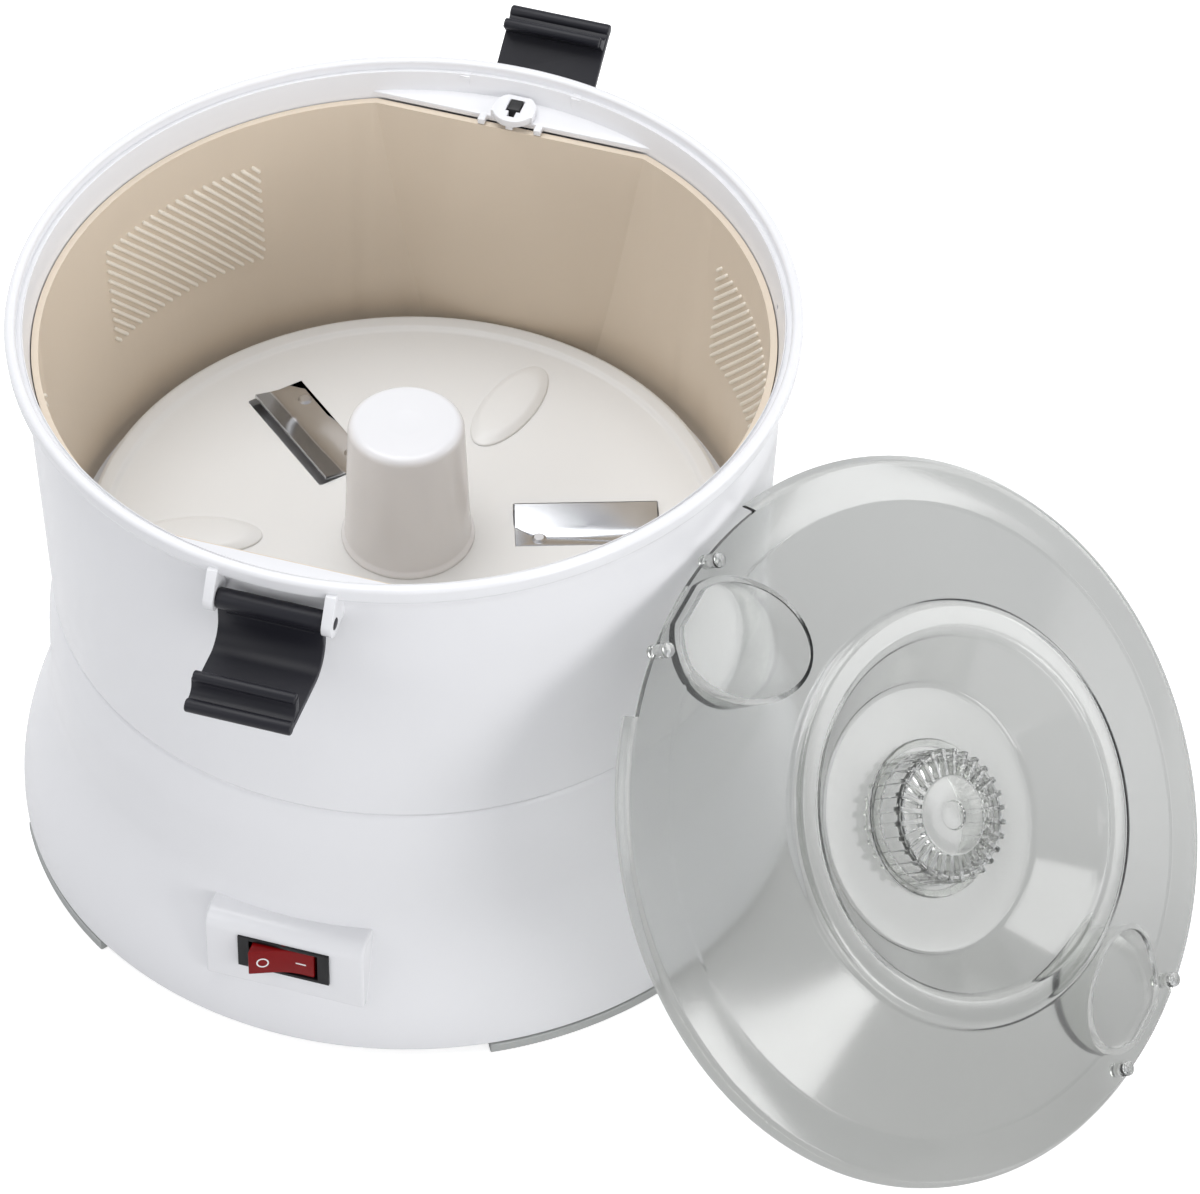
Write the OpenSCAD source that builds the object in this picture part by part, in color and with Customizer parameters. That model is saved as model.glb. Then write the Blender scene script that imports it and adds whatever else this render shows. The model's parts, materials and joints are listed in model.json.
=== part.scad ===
// Electric potato peeler: a motor base, a tub with a ribbed liner, a turning disc with a
// centre column, two swinging latches, and a clear lid that leans against the tub.
// +Z is up, the table is z = 0, and the origin is the centre of the whole object's footprint.

/* [Tub] */
// Outer radius of the tub wall just under its lip
tub_r = 119.3; // [100:0.1:145]
// How much narrower the tub is at its bottom than under the lip
tub_taper = 4.2; // [2:0.1:8]
// Height of the tub from the seam with the base to the top of the lip
tub_h = 108.5; // [90:0.5:132]
// How far the lip stands out from the tub wall
lip = 5.7; // [4:0.1:7]
// Thickness of the tub wall
tub_wall = 2.2; // [1.8:0.1:3]
// Bearing of the front latch and the switch, seen from above
front_az = -109.4; // [-120:0.1:-100]

/* [Liner] */
// Thickness of the liner wall
liner_wall = 2.2; // [1.6:0.1:3]
// How far the liner's top edge is below the top of the lip
liner_drop = 11.5; // [10:0.5:16]
// Distance from the body axis to the liner's flat sides behind the latches
flat_x = 107.5; // [104:0.1:109]
// Width of one peeling rib on the liner
rib_w = 1.4; // [1:0.1:2]
// Distance from one rib to the next
rib_pitch = 2.7; // [2.4:0.1:5]
// How far the ribs stand out from the liner
rib_h = 0.9; // [0.5:0.1:1.2]

/* [Base] */
// Height of the base from the table to the seam
base_h = 97.5; // [82:0.5:117]
// How much wider the skirt is than the waist
flare = 11.2; // [6:0.1:14]
// Thickness of the base's wall and deck
base_wall = 2.5; // [2:0.1:3.5]
// Height of the feet
foot_h = 4; // [3:0.1:6]
// Arc that each foot covers
foot_arc = 27; // [20:1:34]

/* [Disc and column] */
// Running gap between the disc and the liner's flats
disc_gap = 1.6; // [1:0.1:3]
// Thickness of the disc
disc_t = 3; // [2.5:0.1:4]
// Radius of the column's top
column_r = 18.5; // [17:0.1:23]
// Height of the column above the disc
column_h = 48.6; // [36:0.1:60]
// Number of blades on the disc
blades = 3; // [2:1:4]

/* [Drive] */
// Radius of the spindle
spindle_r = 4; // [3.4:0.1:5]
// Tooth module of the gears
gear_m = 1.25; // [1:0.05:1.3]
// Teeth on the output gear
out_teeth = 56; // [48:1:60]
// Teeth on the idler's small gear
small_teeth = 14; // [14:1:18]
// Teeth on the idler's large gear
large_teeth = 48; // [40:1:50]
// Teeth on the motor pinion
pinion_teeth = 12; // [12:1:16]
// Radius of the motor can
motor_r = 26; // [22:0.5:29]
// Length of the motor can
motor_l = 46; // [38:0.5:48]

/* [Latches] */
// Width of a latch
latch_w = 34; // [30:0.5:42]
// Radius of a latch pin
latch_pin_r = 2; // [1.6:0.1:2.4]
// Radius of the bend between a latch's panel and its grip
latch_curve = 9; // [7:0.1:11]
// Drop from a latch's pin to its grip
latch_drop = 17; // [14:0.1:20.4]
// Reach of the grip from the pin
latch_out = 30.5; // [25:0.1:34]
// How far the rear latch stands above its hanging place
rear_raise = 35; // [0:1:60]

/* [Switch] */
// Width of the switch frame
switch_w = 30.4; // [27:0.1:36]
// Height of the switch frame
switch_h = 13; // [12:0.1:15.6]
// Angle that the rocker tilts through
rocker_tilt = 19; // [14:1:22]

/* [Lid] */
// Radius of the lid's edge
lid_r = 115; // [100:0.5:118]
// Thickness of the lid
lid_t = 2.4; // [1.8:0.1:3]
// Height of the raised ring above the lid's edge
lid_h = 29.2; // [25:0.1:35]
// Angle between the leaning lid's axis and the horizontal
lid_lean = 39.8; // [32:0.1:47.8]
// Direction that the leaning lid faces, seen from above
lid_az = -42.8; // [-51:0.1:-34]
// Bearing of the lid's centre from the body axis
lid_bearing = -35.6; // [-42:0.1:-29]

/* [Hidden] */
$fn = 96;
fit = 0.05;        // radial clearance of a shaft in its bore
seat = 0.03;       // radial clearance of a piece that doesn't turn
rear_az = front_az + 180;

// Levels
deck_z = base_h - 4.5;             // underside of the base's deck
deck_top = deck_z + base_wall;
tub_z = base_h + 0.4;              // the tub's lower edge, a hair above the base
floor_top = tub_z + 2.6;
rim_z = base_h + tub_h;
liner_top = rim_z - liner_drop;
disc_top = floor_top + 9.6;
column_top = disc_top + column_h;

// Radii
rim_r = tub_r + lip;
tub_low_r = tub_r - tub_taper;
waist_r = tub_low_r + 2.2;
base_r = waist_r + flare;
function tub_wall_r(z) = tub_low_r + tub_taper * (z - tub_z) / (tub_h - 16);
ledge_r = tub_wall_r(liner_top) - tub_wall;   // inner edge of the white ledge round the mouth
liner_top_r = ledge_r - 0.4;
liner_low_r = tub_wall_r(floor_top) - tub_wall - 1.6;
disc_r = flat_x - liner_wall - disc_gap;

// Curve of the base from its waist to its skirt
flare_low = foot_h + 4;
flare_high = flare_low + 0.56 * (deck_z - flare_low) + 4;
function ease(t) = t * t * (3 - 2 * t);
function base_wall_r(z) = waist_r + flare
    * (1 - ease(max(0, min(1, (z - flare_low) / (flare_high - flare_low)))));

// Gears
add_k = 0.75;      // tooth height above the pitch circle, in modules
ded_k = 1.25;      // tooth depth below the pitch circle, in modules
backlash = 0.3;
mesh_gap = 0.15;   // extra centre distance
idler_az = 60;
motor_az = 110;
function pitch_r(teeth) = gear_m * teeth / 2;
function tip_r(teeth) = pitch_r(teeth) + add_k * gear_m;
function polar(r, a) = [r * cos(a), r * sin(a)];
idler_xy = polar(pitch_r(out_teeth) + pitch_r(small_teeth) + mesh_gap, idler_az);
motor_xy = idler_xy + polar(pitch_r(large_teeth) + pitch_r(pinion_teeth) + mesh_gap, motor_az);
function involute(a) = tan(a) * 180 / PI - a;
function half_tooth(teeth, r) = let (pr = pitch_r(teeth), br = pr * cos(20))
    90 / teeth + involute(20) - involute(acos(min(1, br / max(r, br))))
    - backlash / pr * 90 / PI;
function gear_points(teeth) = let (root = pitch_r(teeth) - ded_k * gear_m,
                                   br = pitch_r(teeth) * cos(20), tip = tip_r(teeth),
                                   low = max(root + 0.2, br))
    [for (i = [0:teeth - 1]) let (c = i * 360 / teeth)
        for (p = [[root, -1], [low, -1], [(low + tip) / 2, -1], [tip, -1],
                  [tip, 1], [(low + tip) / 2, 1], [low, 1], [root, 1]])
            polar(p[0], c + p[1] * half_tooth(teeth, p[0]))];

// Drive levels
plate_z = deck_z - 31;             // underside of the gear plate
plate_t = 2.5;
plate_top = plate_z + plate_t;
large_z = plate_top + 3;
small_z = large_z + 6;
out_z = small_z + 1.5;
out_t = 7.5;
small_t = 10.5;
pinion_z = plate_top + 2;
pinion_t = 10;
bush_r = spindle_r + 2.5;
neck_r = bush_r + 3.5;             // outside of the tub's neck round the spindle
neck_top = disc_top - 2.4;
dog_r = neck_r - 1;                // corners of the six-sided drive dog
dog_z = neck_top + 1;
dog_h = 10;
hub_r = neck_r + 4.5;
post_r = 5;
gear_clear = tip_r(out_teeth) + post_r + 4;
plate_posts = [polar(gear_clear, 201), polar(gear_clear, -47),
               motor_xy + polar(motor_r + post_r + 4, 8),
               motor_xy + polar(motor_r + post_r + 4, 190)];
base_posts = [-156, -66, 24, 114];
base_post_r = waist_r - base_wall - post_r - 5;

// Latches
lug_t = 3.2;
latch_gap = 0.3;
latch_t = 2.5;
pin_x = rim_r + 0.5;               // latch pin's distance from the body axis
pin_z = rim_z - 12.8;
bar_r = 2.2;                       // the bar along the grip's outer edge
hook_r = 1.8;                      // the bar along the hook that stands on the grip
hook_h = 7;
hook_x = latch_out - 6;
lug_r = 4.4;

// Switch
plate_face = base_wall_r(foot_h + 36) + 5;
switch_z = foot_h + 34;
plate_w = switch_w + 22.6;
plate_h = switch_h + 16;
rocker_w = switch_w - 10;
rocker_h = switch_h - 2.8;
rocker_x = plate_face - 0.6;       // rocker pivot's distance from the body axis
rocker_rise = rocker_w / 2 * tan(rocker_tilt);

// Interlock behind the rear latch
key_x = flat_x + 4.6;
plunger_w = 4;
plunger_l = 5;
plunger_top = liner_top + 5.4;
plunger_low = liner_top - 12;
plunger_travel = 3;
micro_h = 10;
micro_top = plunger_low - plunger_travel - 0.4;
shelf_low = liner_top + 0.3;
shelf_top = shelf_low + 2.2;

// Leaning lid
lid_tilt = 90 - lid_lean;
lid_n = [sin(lid_tilt) * cos(lid_az), sin(lid_tilt) * sin(lid_az), cos(lid_tilt)];
lid_side = [-sin(lid_az), cos(lid_az), 0];
lid_up = cross(lid_n, lid_side);
lid_centre_z = lid_r * cos(lid_lean) + 0.02;
lid_turn = 20;                     // bearing of the lid's first latch pocket
trim_wide = 21;                    // half the arc over which the brim is trimmed at one pocket
trim_narrow = 9.5;                 // the same at the other pocket
trim_depth = 2.5;
function edge_r(a) = abs(a + 90 - lid_turn - 180) < trim_wide ? lid_r - trim_depth : lid_r;
function lid_edge(c, a) = c + edge_r(a) * (cos(a) * lid_side + sin(a) * lid_up);
function lid_centre(d) = [d * cos(lid_bearing), d * sin(lid_bearing), lid_centre_z];
function edge_gap(d) = min([for (a = [60:0.5:140])
    let (p = lid_edge(lid_centre(d), a)) norm([p[0], p[1]]) - tub_wall_r(p[2])]);
function lean(d, n) = n == 0 ? d : lean(d - edge_gap(d) + 0.3, n - 1);
lid_c = lean(tub_r + lid_r, 6);
lid_at = lid_centre(lid_c);
ring_r = 0.535 * lid_r;
brim_r = lid_r - 9.5;
dish_r = 0.36 * lid_r;
dish_h = 10;
hub_out = 0.183 * lid_r;
hub_h = 22;
cap_r = 12.9;
pocket_r = latch_w / 2 + 1.6;
pocket_x = ring_r + pocket_r + 10.2;
pocket_low = 2;
hub_teeth = 28;
lid_top = [[lid_r, lid_t], [brim_r - 4, 8.4], [brim_r - 6.5, 9.6], [ring_r + 5.4, lid_h - 2.6],
           [ring_r + 4, lid_h - 0.7], [ring_r + 2.6, lid_h], [ring_r - 2.6, lid_h],
           [ring_r - 4, lid_h - 0.7], [ring_r - 5.4, lid_h - 2.6],
           [dish_r + 1.6, dish_h + 0.8], [dish_r, dish_h], [hub_out + 1.4, dish_h]];

// Footprint of the whole object, whose centre is the origin
function turn(p, a) = [p[0] * cos(a) - p[1] * sin(a), p[0] * sin(a) + p[1] * cos(a)];
rear_tip = pin_x + turn([latch_out, 0.3 - latch_drop], rear_raise)[0] + bar_r;
foot_low_y = lid_at[1] - lid_r * sqrt(1 - lid_n[1] * lid_n[1]) + lid_t * lid_n[1];
foot_high_x = lid_at[0] + lid_r * sqrt(1 - lid_n[0] * lid_n[0]) + lid_t * lid_n[0];
foot_high_y = rear_tip * sin(rear_az) + latch_w / 2 * abs(cos(rear_az));
axis_at = [-(foot_high_x - base_r) / 2, -(foot_high_y + foot_low_y) / 2, 0];

// ---- Shared shapes ----

module on_axis() translate(axis_at) children();

module on_side(az) on_axis() rotate([0, 0, az]) children();

module in_lid() translate(axis_at + lid_at) rotate([0, lid_tilt, lid_az]) children();

module tube(r_out, r_in, h) difference() {
    cylinder(r = r_out, h = h);
    translate([0, 0, -1]) cylinder(r = r_in, h = h + 2);
}

module block(x0, x1, y, z0, z1) translate([x0, -y / 2, z0]) cube([x1 - x0, y, z1 - z0]);

module gear(teeth, h) linear_extrude(height = h) polygon(gear_points(teeth));

// A pan-head screw whose head lies under z = 0 and whose shank rises
module screw(r, length) {
    translate([0, 0, -1.9]) cylinder(r = 1.8 * r, h = 1.9, $fn = 32);
    cylinder(r = r, h = length, $fn = 32);
}

// ---- Base ----

base_curve = concat([[base_r, foot_h + 0.4]],
    [for (i = [0:8]) let (z = flare_low + i / 8 * (flare_high - flare_low))
        [base_wall_r(z), z]],
    [[waist_r - 0.6, deck_z - 10], [tub_low_r - 0.6, base_h - 1.6]]);

module base_shell() color("white") {
    last = len(base_curve) - 1;
    skin = concat(base_curve, [[tub_low_r - 1.8, base_h], [tub_low_r - 4, base_h],
        [tub_low_r - 4, deck_top], [0, deck_top], [0, deck_z]],
        [for (i = [last:-1:0]) [base_curve[i][0] - base_wall, min(base_curve[i][1], deck_z)]]);
    on_axis() difference() {
        union() {
            rotate_extrude($fn = 180) polygon(skin);
            translate([0, 0, deck_z - 7]) cylinder(r = bush_r + 3, h = 8);
            for (p = plate_posts) translate([p[0], p[1], plate_top])
                cylinder(r = post_r, h = deck_z + 1 - plate_top, $fn = 32);
            for (a = base_posts) rotate([0, 0, a]) translate([base_post_r, 0, foot_h + base_wall])
                cylinder(r = post_r, h = deck_z + 1 - foot_h - base_wall, $fn = 32);
            rotate([0, 0, front_az]) intersection() {
                block(plate_face - 22, plate_face, plate_w, switch_z - plate_h / 2,
                      switch_z + plate_h / 2);
                cylinder(r = base_r + 8, h = base_h, $fn = 180);
            }
            rotate([0, 0, gland_az]) translate([gland_x - 18, 0, gland_z]) rotate([0, 90, 0])
                cylinder(r = gland_r + 4, h = 18, $fn = 48);
        }
        translate([0, 0, deck_z - 8]) cylinder(r = bush_r + seat, h = 20);
        for (p = plate_posts) translate([p[0], p[1], plate_top - 1])
            cylinder(r = 1.7, h = 13, $fn = 32);
        for (a = base_posts) rotate([0, 0, a]) translate([base_post_r, 0, 0])
            cylinder(r = 1.9, h = foot_h + base_wall + 15, $fn = 32);
        for (a = tub_posts) rotate([0, 0, a]) translate([tub_post_r, 0, deck_z - 1])
            cylinder(r = 2.1, h = 8, $fn = 32);
        rotate([0, 0, front_az]) switch_hollow();
        rotate([0, 0, gland_az]) translate([gland_x - 40, 0, gland_z]) rotate([0, 90, 0])
            cylinder(r = gland_r + seat, h = 60, $fn = 48);
    }
}

// Room behind the switch plate and the opening that the frame fills
module switch_hollow() {
    back = plate_face - 22 - 1;
    block(back, plate_face - base_wall, plate_w - 2 * base_wall,
          switch_z - plate_h / 2 + base_wall, switch_z + plate_h / 2 - base_wall);
    block(back, plate_face + 1, switch_w + 2 * seat, switch_z - switch_h / 2 - seat,
          switch_z + switch_h / 2 + seat);
}

cover_r = base_r - base_wall - 0.8;

module bottom_cover() color("gainsboro") on_axis() difference() {
    union() {
        translate([0, 0, foot_h]) cylinder(r = cover_r, h = base_wall, $fn = 180);
        translate([0, 0, foot_h]) tube(cover_r, cover_r - 2, base_wall + 3, $fn = 180);
    }
    for (a = base_posts) rotate([0, 0, a]) {
        translate([base_post_r, 0, 0]) cylinder(r = 2.1, h = 20, $fn = 32);
        translate([foot_stud_r, 0, 0]) cylinder(r = 2.6, h = 20, $fn = 32);
    }
    for (a = [0:30:330], r = [40, 62]) rotate([0, 0, a]) translate([r, 0, 0])
        block(0, 16, 3, 1, 20);
}

foot_stud_r = base_r - 9.5;

// One arc-shaped foot with the stud that holds it in the cover
module foot(az) color("darkgray") on_side(az) {
    rotate([0, 0, -foot_arc / 2]) rotate_extrude(angle = foot_arc, $fn = 180)
        translate([base_r - 13, 0]) square([13.3, foot_h]);
    translate([foot_stud_r, 0, foot_h - 1]) cylinder(r = 2.5, h = base_wall + 1.1, $fn = 32);
    translate([foot_stud_r, 0, foot_h + base_wall + 0.1]) cylinder(r = 3.4, h = 1.6, $fn = 32);
}

module bottom_screws() color("silver") for (a = base_posts)
    on_side(a) translate([base_post_r, 0, foot_h]) screw(1.8, 14);

gland_az = 140;
gland_r = 6;
gland_z = foot_h + 18;
gland_x = base_wall_r(gland_z) + 2;

// Strain relief that the mains cord would come out of
module cord_gland() color("dimgray") on_side(gland_az) translate([gland_x, 0, gland_z])
    rotate([0, 90, 0]) difference() {
        union() {
            translate([0, 0, -22]) cylinder(r = gland_r, h = 30, $fn = 48);
            translate([0, 0, 0.1]) cylinder(r = gland_r + 3, h = 2.4, $fn = 48);
            translate([0, 0, -20.6]) cylinder(r = gland_r + 3, h = 2.4, $fn = 6);
            translate([0, 0, 8]) cylinder(r1 = gland_r, r2 = gland_r - 1.4, h = 4, $fn = 48);
        }
        translate([0, 0, -30]) cylinder(r = 3.6, h = 60, $fn = 48);
    }

module terminal_block() color("ivory") on_side(170) translate([0, 0, foot_h + base_wall])
    difference() {
        block(74, 88, 30, 0, 12);
        for (y = [-10, 0, 10]) translate([81, y, 4]) cylinder(r = 2.2, h = 10, $fn = 32);
    }

module suppressor() color("goldenrod") on_side(-20) translate([0, 0, foot_h + base_wall])
    block(72, 82, 26, 0, 17);

// ---- Switch ----

module switch_frame() color([0.08, 0.08, 0.09]) on_side(front_az) difference() {
    union() {
        block(plate_face - 5, plate_face + 0.8, switch_w, switch_z - switch_h / 2,
              switch_z + switch_h / 2);
        block(plate_face - 21, plate_face - 5, switch_w - 2, switch_z - switch_h / 2 + 0.6,
              switch_z + switch_h / 2 - 0.6);
        for (y = [-8, 8]) translate([0, y, 0])
            block(plate_face - 28, plate_face - 21, 4.8, switch_z - 1, switch_z + 1);
    }
    translate([rocker_x, 0, switch_z - rocker_h / 2 - 0.4])
        cylinder(r = rocker_reach + 0.35, h = rocker_h + 0.8);
    block(rocker_x, plate_face + 2, 2 * rocker_reach + 0.7, switch_z - rocker_h / 2 - 0.4,
          switch_z + rocker_h / 2 + 0.4);
    translate([rocker_x, 0, switch_z - rocker_h / 2 - 1.6])
        cylinder(r = 1 + fit, h = rocker_h + 3.2, $fn = 32);
}

rocker_reach = norm([rocker_w / 2, 1 + rocker_rise]);

module rocker() color([0.6, 0.05, 0.04]) on_side(front_az)
    translate([rocker_x, 0, switch_z - rocker_h / 2]) {
        linear_extrude(height = rocker_h) polygon([[1, 0], [1 + rocker_rise, -rocker_w / 2],
            [-2.5, -rocker_w / 2], [-5, -3], [-5, 3], [-2.5, rocker_w / 2],
            [0.9, rocker_w / 2]]);
        translate([0, 0, -1.3]) cylinder(r = 1, h = rocker_h + 2.6, $fn = 32);
    }

// ---- Tub ----

tub_posts = [30, 150, 270];
tub_post_r = min(tub_low_r - 28, flat_x - 12);

module tub() color("white") on_axis() difference() {
    union() {
        rotate_extrude($fn = 180) polygon([
            [neck_r, floor_top], [neck_r, neck_top], [bush_r, neck_top], [bush_r, tub_z],
            [tub_low_r - 10, tub_z], [tub_low_r - 10, deck_top], [tub_low_r - 7, deck_top],
            [tub_low_r - 7, tub_z], [tub_low_r - 1.6, tub_z], [tub_low_r - 0.5, tub_z + 0.6],
            [tub_low_r, tub_z + 2], [tub_wall_r(rim_z - 12), rim_z - 12],
            [tub_r + 1.6, rim_z - 8.4], [rim_r - 0.9, rim_z - 5.8], [rim_r, rim_z - 4],
            [rim_r, rim_z - 1.6], [rim_r - 0.5, rim_z - 0.5], [rim_r - 1.4, rim_z],
            [rim_r - 2.7, rim_z], [rim_r - 3.5, rim_z - 0.7], [rim_r - 3.8, rim_z - 3],
            [rim_r - 5.4, rim_z - 3], [rim_r - 5.8, rim_z - 2.2], [ledge_r + 1.2, liner_top + 6],
            [ledge_r, liner_top + 0.5],
            [tub_wall_r(floor_top) - tub_wall, floor_top]]);
        for (a = [front_az, rear_az]) rotate([0, 0, a]) {
            intersection() {
                block(flat_x + 0.3, rim_r, 2 * rim_r, shelf_low, shelf_top);
                cylinder(r = ledge_r + 1.6, h = rim_z, $fn = 180);
            }
            for (y = [-1, 1]) translate([0, y * (latch_w + lug_t + 2 * latch_gap) / 2, 0]) lug();
        }
        rotate([0, 0, rear_az]) for (y = [-9.5, 0, 9.5]) translate([0, y, 0])
            block(flat_x - 2.4, flat_x + 1, 2.4, shelf_low, shelf_top);
    }
    for (a = [front_az, rear_az]) rotate([0, 0, a]) translate([pin_x, 0, pin_z])
        rotate([90, 0, 0]) cylinder(r = latch_pin_r + fit, h = 2 * latch_w, center = true);
    rotate([0, 0, rear_az]) translate([key_x, 0, 0])
        block(-plunger_l / 2 - 0.4, plunger_l / 2 + 0.4, plunger_w + 0.8, shelf_low - 1,
              shelf_top + 1);
    for (a = tub_posts) rotate([0, 0, a]) translate([tub_post_r, 0, tub_z - 1])
        cylinder(r = 1.7, h = 20, $fn = 32);
    rotate([0, 0, 4.4]) translate([ledge_r + 2.3, 0, liner_top + 1.6]) rotate([0, 60, 0])
        cylinder(r = 0.9, h = 6, center = true, $fn = 24);
}

lug_top = rim_z - 3 - pin_z;

// An ear under the lip that carries one end of a latch
module lug() intersection() {
    translate([pin_x, lug_t / 2, 0]) rotate([90, 0, 0]) linear_extrude(height = lug_t) union() {
        translate([0, pin_z]) circle(r = lug_r, $fn = 48);
        translate([0, pin_z]) polygon([[-8, -3], [0, -3], [4.08, 1.65], [-0.6, lug_top],
                                       [-8, lug_top]]);
    }
    difference() {
        cylinder(r = rim_r + 8, h = rim_z - 2, $fn = 180);
        cylinder(r = tub_wall_r(pin_z) - 1.4, h = rim_z, $fn = 180);
    }
}

module tub_screws() color("silver") for (a = tub_posts)
    on_side(a) translate([tub_post_r, 0, deck_z]) screw(1.6, floor_top + 4.4 - deck_z);

// ---- Liner ----

// The liner's outline between two levels, drawn in by inset all round
module liner_body(inset, z0, z1) intersection() {
    translate([0, 0, z0]) cylinder(r1 = liner_inside(z0) + liner_wall - inset,
        r2 = liner_inside(z1) + liner_wall - inset, h = z1 - z0, $fn = 180);
    rotate([0, 0, front_az]) block(-flat_x + inset, flat_x - inset, 2 * rim_r, z0, z1);
}

rib_slant = 48;
rib_low = liner_top - 56;
rib_high = liner_top - 16;
// Each field of ribs: bearing of its middle from the rear latch, and the way its ribs lean
rib_fields = [[60, 1], [-60, -1], [127, 1], [-127, -1]];
function liner_inside(z) = liner_low_r - liner_wall
    + (liner_top_r - liner_low_r) * (z - floor_top) / (liner_top - floor_top);

// A field of slanted ribs on the liner's inside, round the +X side
module rib_field(lean_way) intersection() {
    rotate([0, 0, -17]) rotate_extrude(angle = 34, $fn = 180) polygon([
        [liner_inside(rib_low) - rib_h, rib_low], [liner_inside(rib_low) + 1, rib_low],
        [liner_inside(rib_high) + 1, rib_high], [liner_inside(rib_high) - rib_h, rib_high]]);
    translate([liner_top_r, 0, (rib_low + rib_high) / 2]) rotate([lean_way * rib_slant, 0, 0])
        for (j = [-floor(47 / rib_pitch):floor(47 / rib_pitch)])
            translate([0, 0, j * rib_pitch]) cube([30, 110, rib_w], center = true);
}

module liner() color([0.77, 0.71, 0.63]) on_axis() {
    difference() {
        liner_body(0, floor_top, liner_top);
        liner_body(liner_wall, floor_top - 1, liner_top + 1);
    }
    for (f = rib_fields) rotate([0, 0, rear_az + f[0]]) rib_field(f[1]);
}

// ---- Lid interlock ----

boss_r = 7.1;
boss_h = 2.6;

// White arch round the keyhole
module interlock_boss() color("white") on_side(rear_az) intersection() {
    translate([0, 0, shelf_top]) difference() {
        union() {
            translate([key_x - 1, 0, 0]) cylinder(r = boss_r, h = boss_h, $fn = 64);
            block(flat_x + 0.3, key_x - 1, 2 * boss_r, 0, boss_h);
        }
        block(key_x - plunger_l / 2 - 0.4, key_x + plunger_l / 2 + 0.4, plunger_w + 0.8, -1, 4);
        block(flat_x - 1, key_x, 2.4, -1, 4);
    }
    cylinder(r = ledge_r - 0.2, h = rim_z, $fn = 180);
}

module interlock_plunger() color([0.1, 0.1, 0.1]) on_side(rear_az) translate([key_x, 0, 0]) {
    block(-plunger_l / 2, plunger_l / 2, plunger_w, shelf_low - 4, plunger_top);
    block(-plunger_l / 2 - 1, plunger_l / 2 + 1, plunger_w + 5, shelf_low - 3.6,
          shelf_low - 0.4);
    translate([0, 0, plunger_low]) cylinder(r = 1.5, h = shelf_low - 2 - plunger_low, $fn = 32);
}

spring_low = micro_top + 0.1;
spring_high = shelf_low - 4.1;

// Return spring round the plunger's stem, as the sleeve that its turns fill
module interlock_spring() color("silver") on_side(rear_az) translate([key_x, 0, 0])
    translate([0, 0, spring_low]) tube(2.7, 2.0, spring_high - spring_low);

module interlock_switch() color([0.15, 0.15, 0.16]) on_side(rear_az) difference() {
    union() {
        block(key_x - 3.2, key_x + 3.2, 19.8, micro_top - micro_h, micro_top);
        block(key_x + 3.2, wall_inside(micro_top - micro_h) - 0.3, 10,
              micro_top - micro_h, micro_top);
    }
    for (y = [-4.8, 4.8]) translate([key_x, y, micro_top - 7]) rotate([0, 90, 0])
        cylinder(r = 1.2, h = 20, center = true, $fn = 24);
}

function wall_inside(z) = tub_wall_r(z) - tub_wall;

// ---- Latches ----

// Side view of a latch that hangs open, with its pin at the origin
module latch_side() {
    circle(r = latch_pin_r + 1.3, $fn = 48);
    translate([-latch_t / 2, latch_curve - latch_drop])
        square([latch_t, latch_drop - latch_curve]);
    translate([latch_curve, latch_curve - latch_drop]) intersection() {
        difference() {
            circle(r = latch_curve + latch_t / 2);
            circle(r = latch_curve - latch_t / 2);
        }
        translate([-20, -20]) square([20.01, 20.01]);
    }
    translate([latch_curve, -latch_drop - latch_t / 2])
        square([latch_out - latch_curve, latch_t]);
    translate([latch_out, 0.3 - latch_drop]) circle(r = bar_r, $fn = 32);
    translate([hook_x, hook_h - latch_drop]) circle(r = hook_r, $fn = 32);
    difference() {
        polygon([[hook_x - 1.3, -latch_drop], [hook_x - 1.3, hook_h - latch_drop],
                 [hook_x + 1.3, hook_h - latch_drop], [latch_out, 1 - latch_drop],
                 [latch_out, -latch_drop]]);
        translate([hook_x + 7.6, 9.2 - latch_drop]) circle(r = 6.6);
    }
}

module latch(az, raise) color([0.14, 0.14, 0.15]) on_side(az) translate([pin_x, 0, pin_z])
    rotate([0, -raise, 0]) rotate([90, 0, 0]) {
        translate([0, 0, -latch_w / 2]) linear_extrude(height = latch_w) latch_side();
        cylinder(r = latch_pin_r, h = latch_w + 2 * lug_t + 1, center = true, $fn = 48);
    }

// ---- Disc and column ----

blade_l = 46;
blade_w = 9;
blade_at = 34;     // inner end of a blade from the axis

module peeling_disc() color("whitesmoke") on_axis() difference() {
    union() {
        translate([0, 0, disc_top - disc_t]) cylinder(r = disc_r, h = disc_t, $fn = 180);
        translate([0, 0, floor_top + 1.6]) tube(hub_r, neck_r + 0.8, disc_top - floor_top - 1.6);
        translate([0, 0, disc_top - disc_t - 3]) tube(disc_r, disc_r - 2.4, 4, $fn = 180);
        translate([0, 0, disc_top - 0.1]) cylinder(r = hub_r, h = dog_z + dog_h + 2.4 - disc_top);
    }
    translate([0, 0, floor_top]) cylinder(r = neck_r + 0.8, h = neck_top + 0.8 - floor_top);
    translate([0, 0, neck_top]) cylinder(r = dog_r + 0.25, h = dog_z + dog_h + 0.3 - neck_top,
                                         $fn = 6);
    for (i = [0:blades - 1]) rotate([0, 0, i * 360 / blades]) {
        block_at(blade_at, blade_l + 1, 2, blade_w + 2, disc_top - disc_t - 1, disc_top + 1);
        block_at(blade_at + 0.45, blade_l + 0.1, -7.05, 8.95 + 0.2, disc_top - 1, disc_top + 1);
        for (x = [8, blade_l - 8]) translate([blade_at + x, -3.5, disc_top - 8])
            cylinder(r = 1.5, h = 9, $fn = 32);
    }
    for (a = [60:120:300]) rotate([0, 0, a]) translate([column_screw_r, 0, disc_top - 10])
        cylinder(r = 1.7, h = 12, $fn = 32);
}

column_screw_r = hub_r + 3.6;

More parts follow.
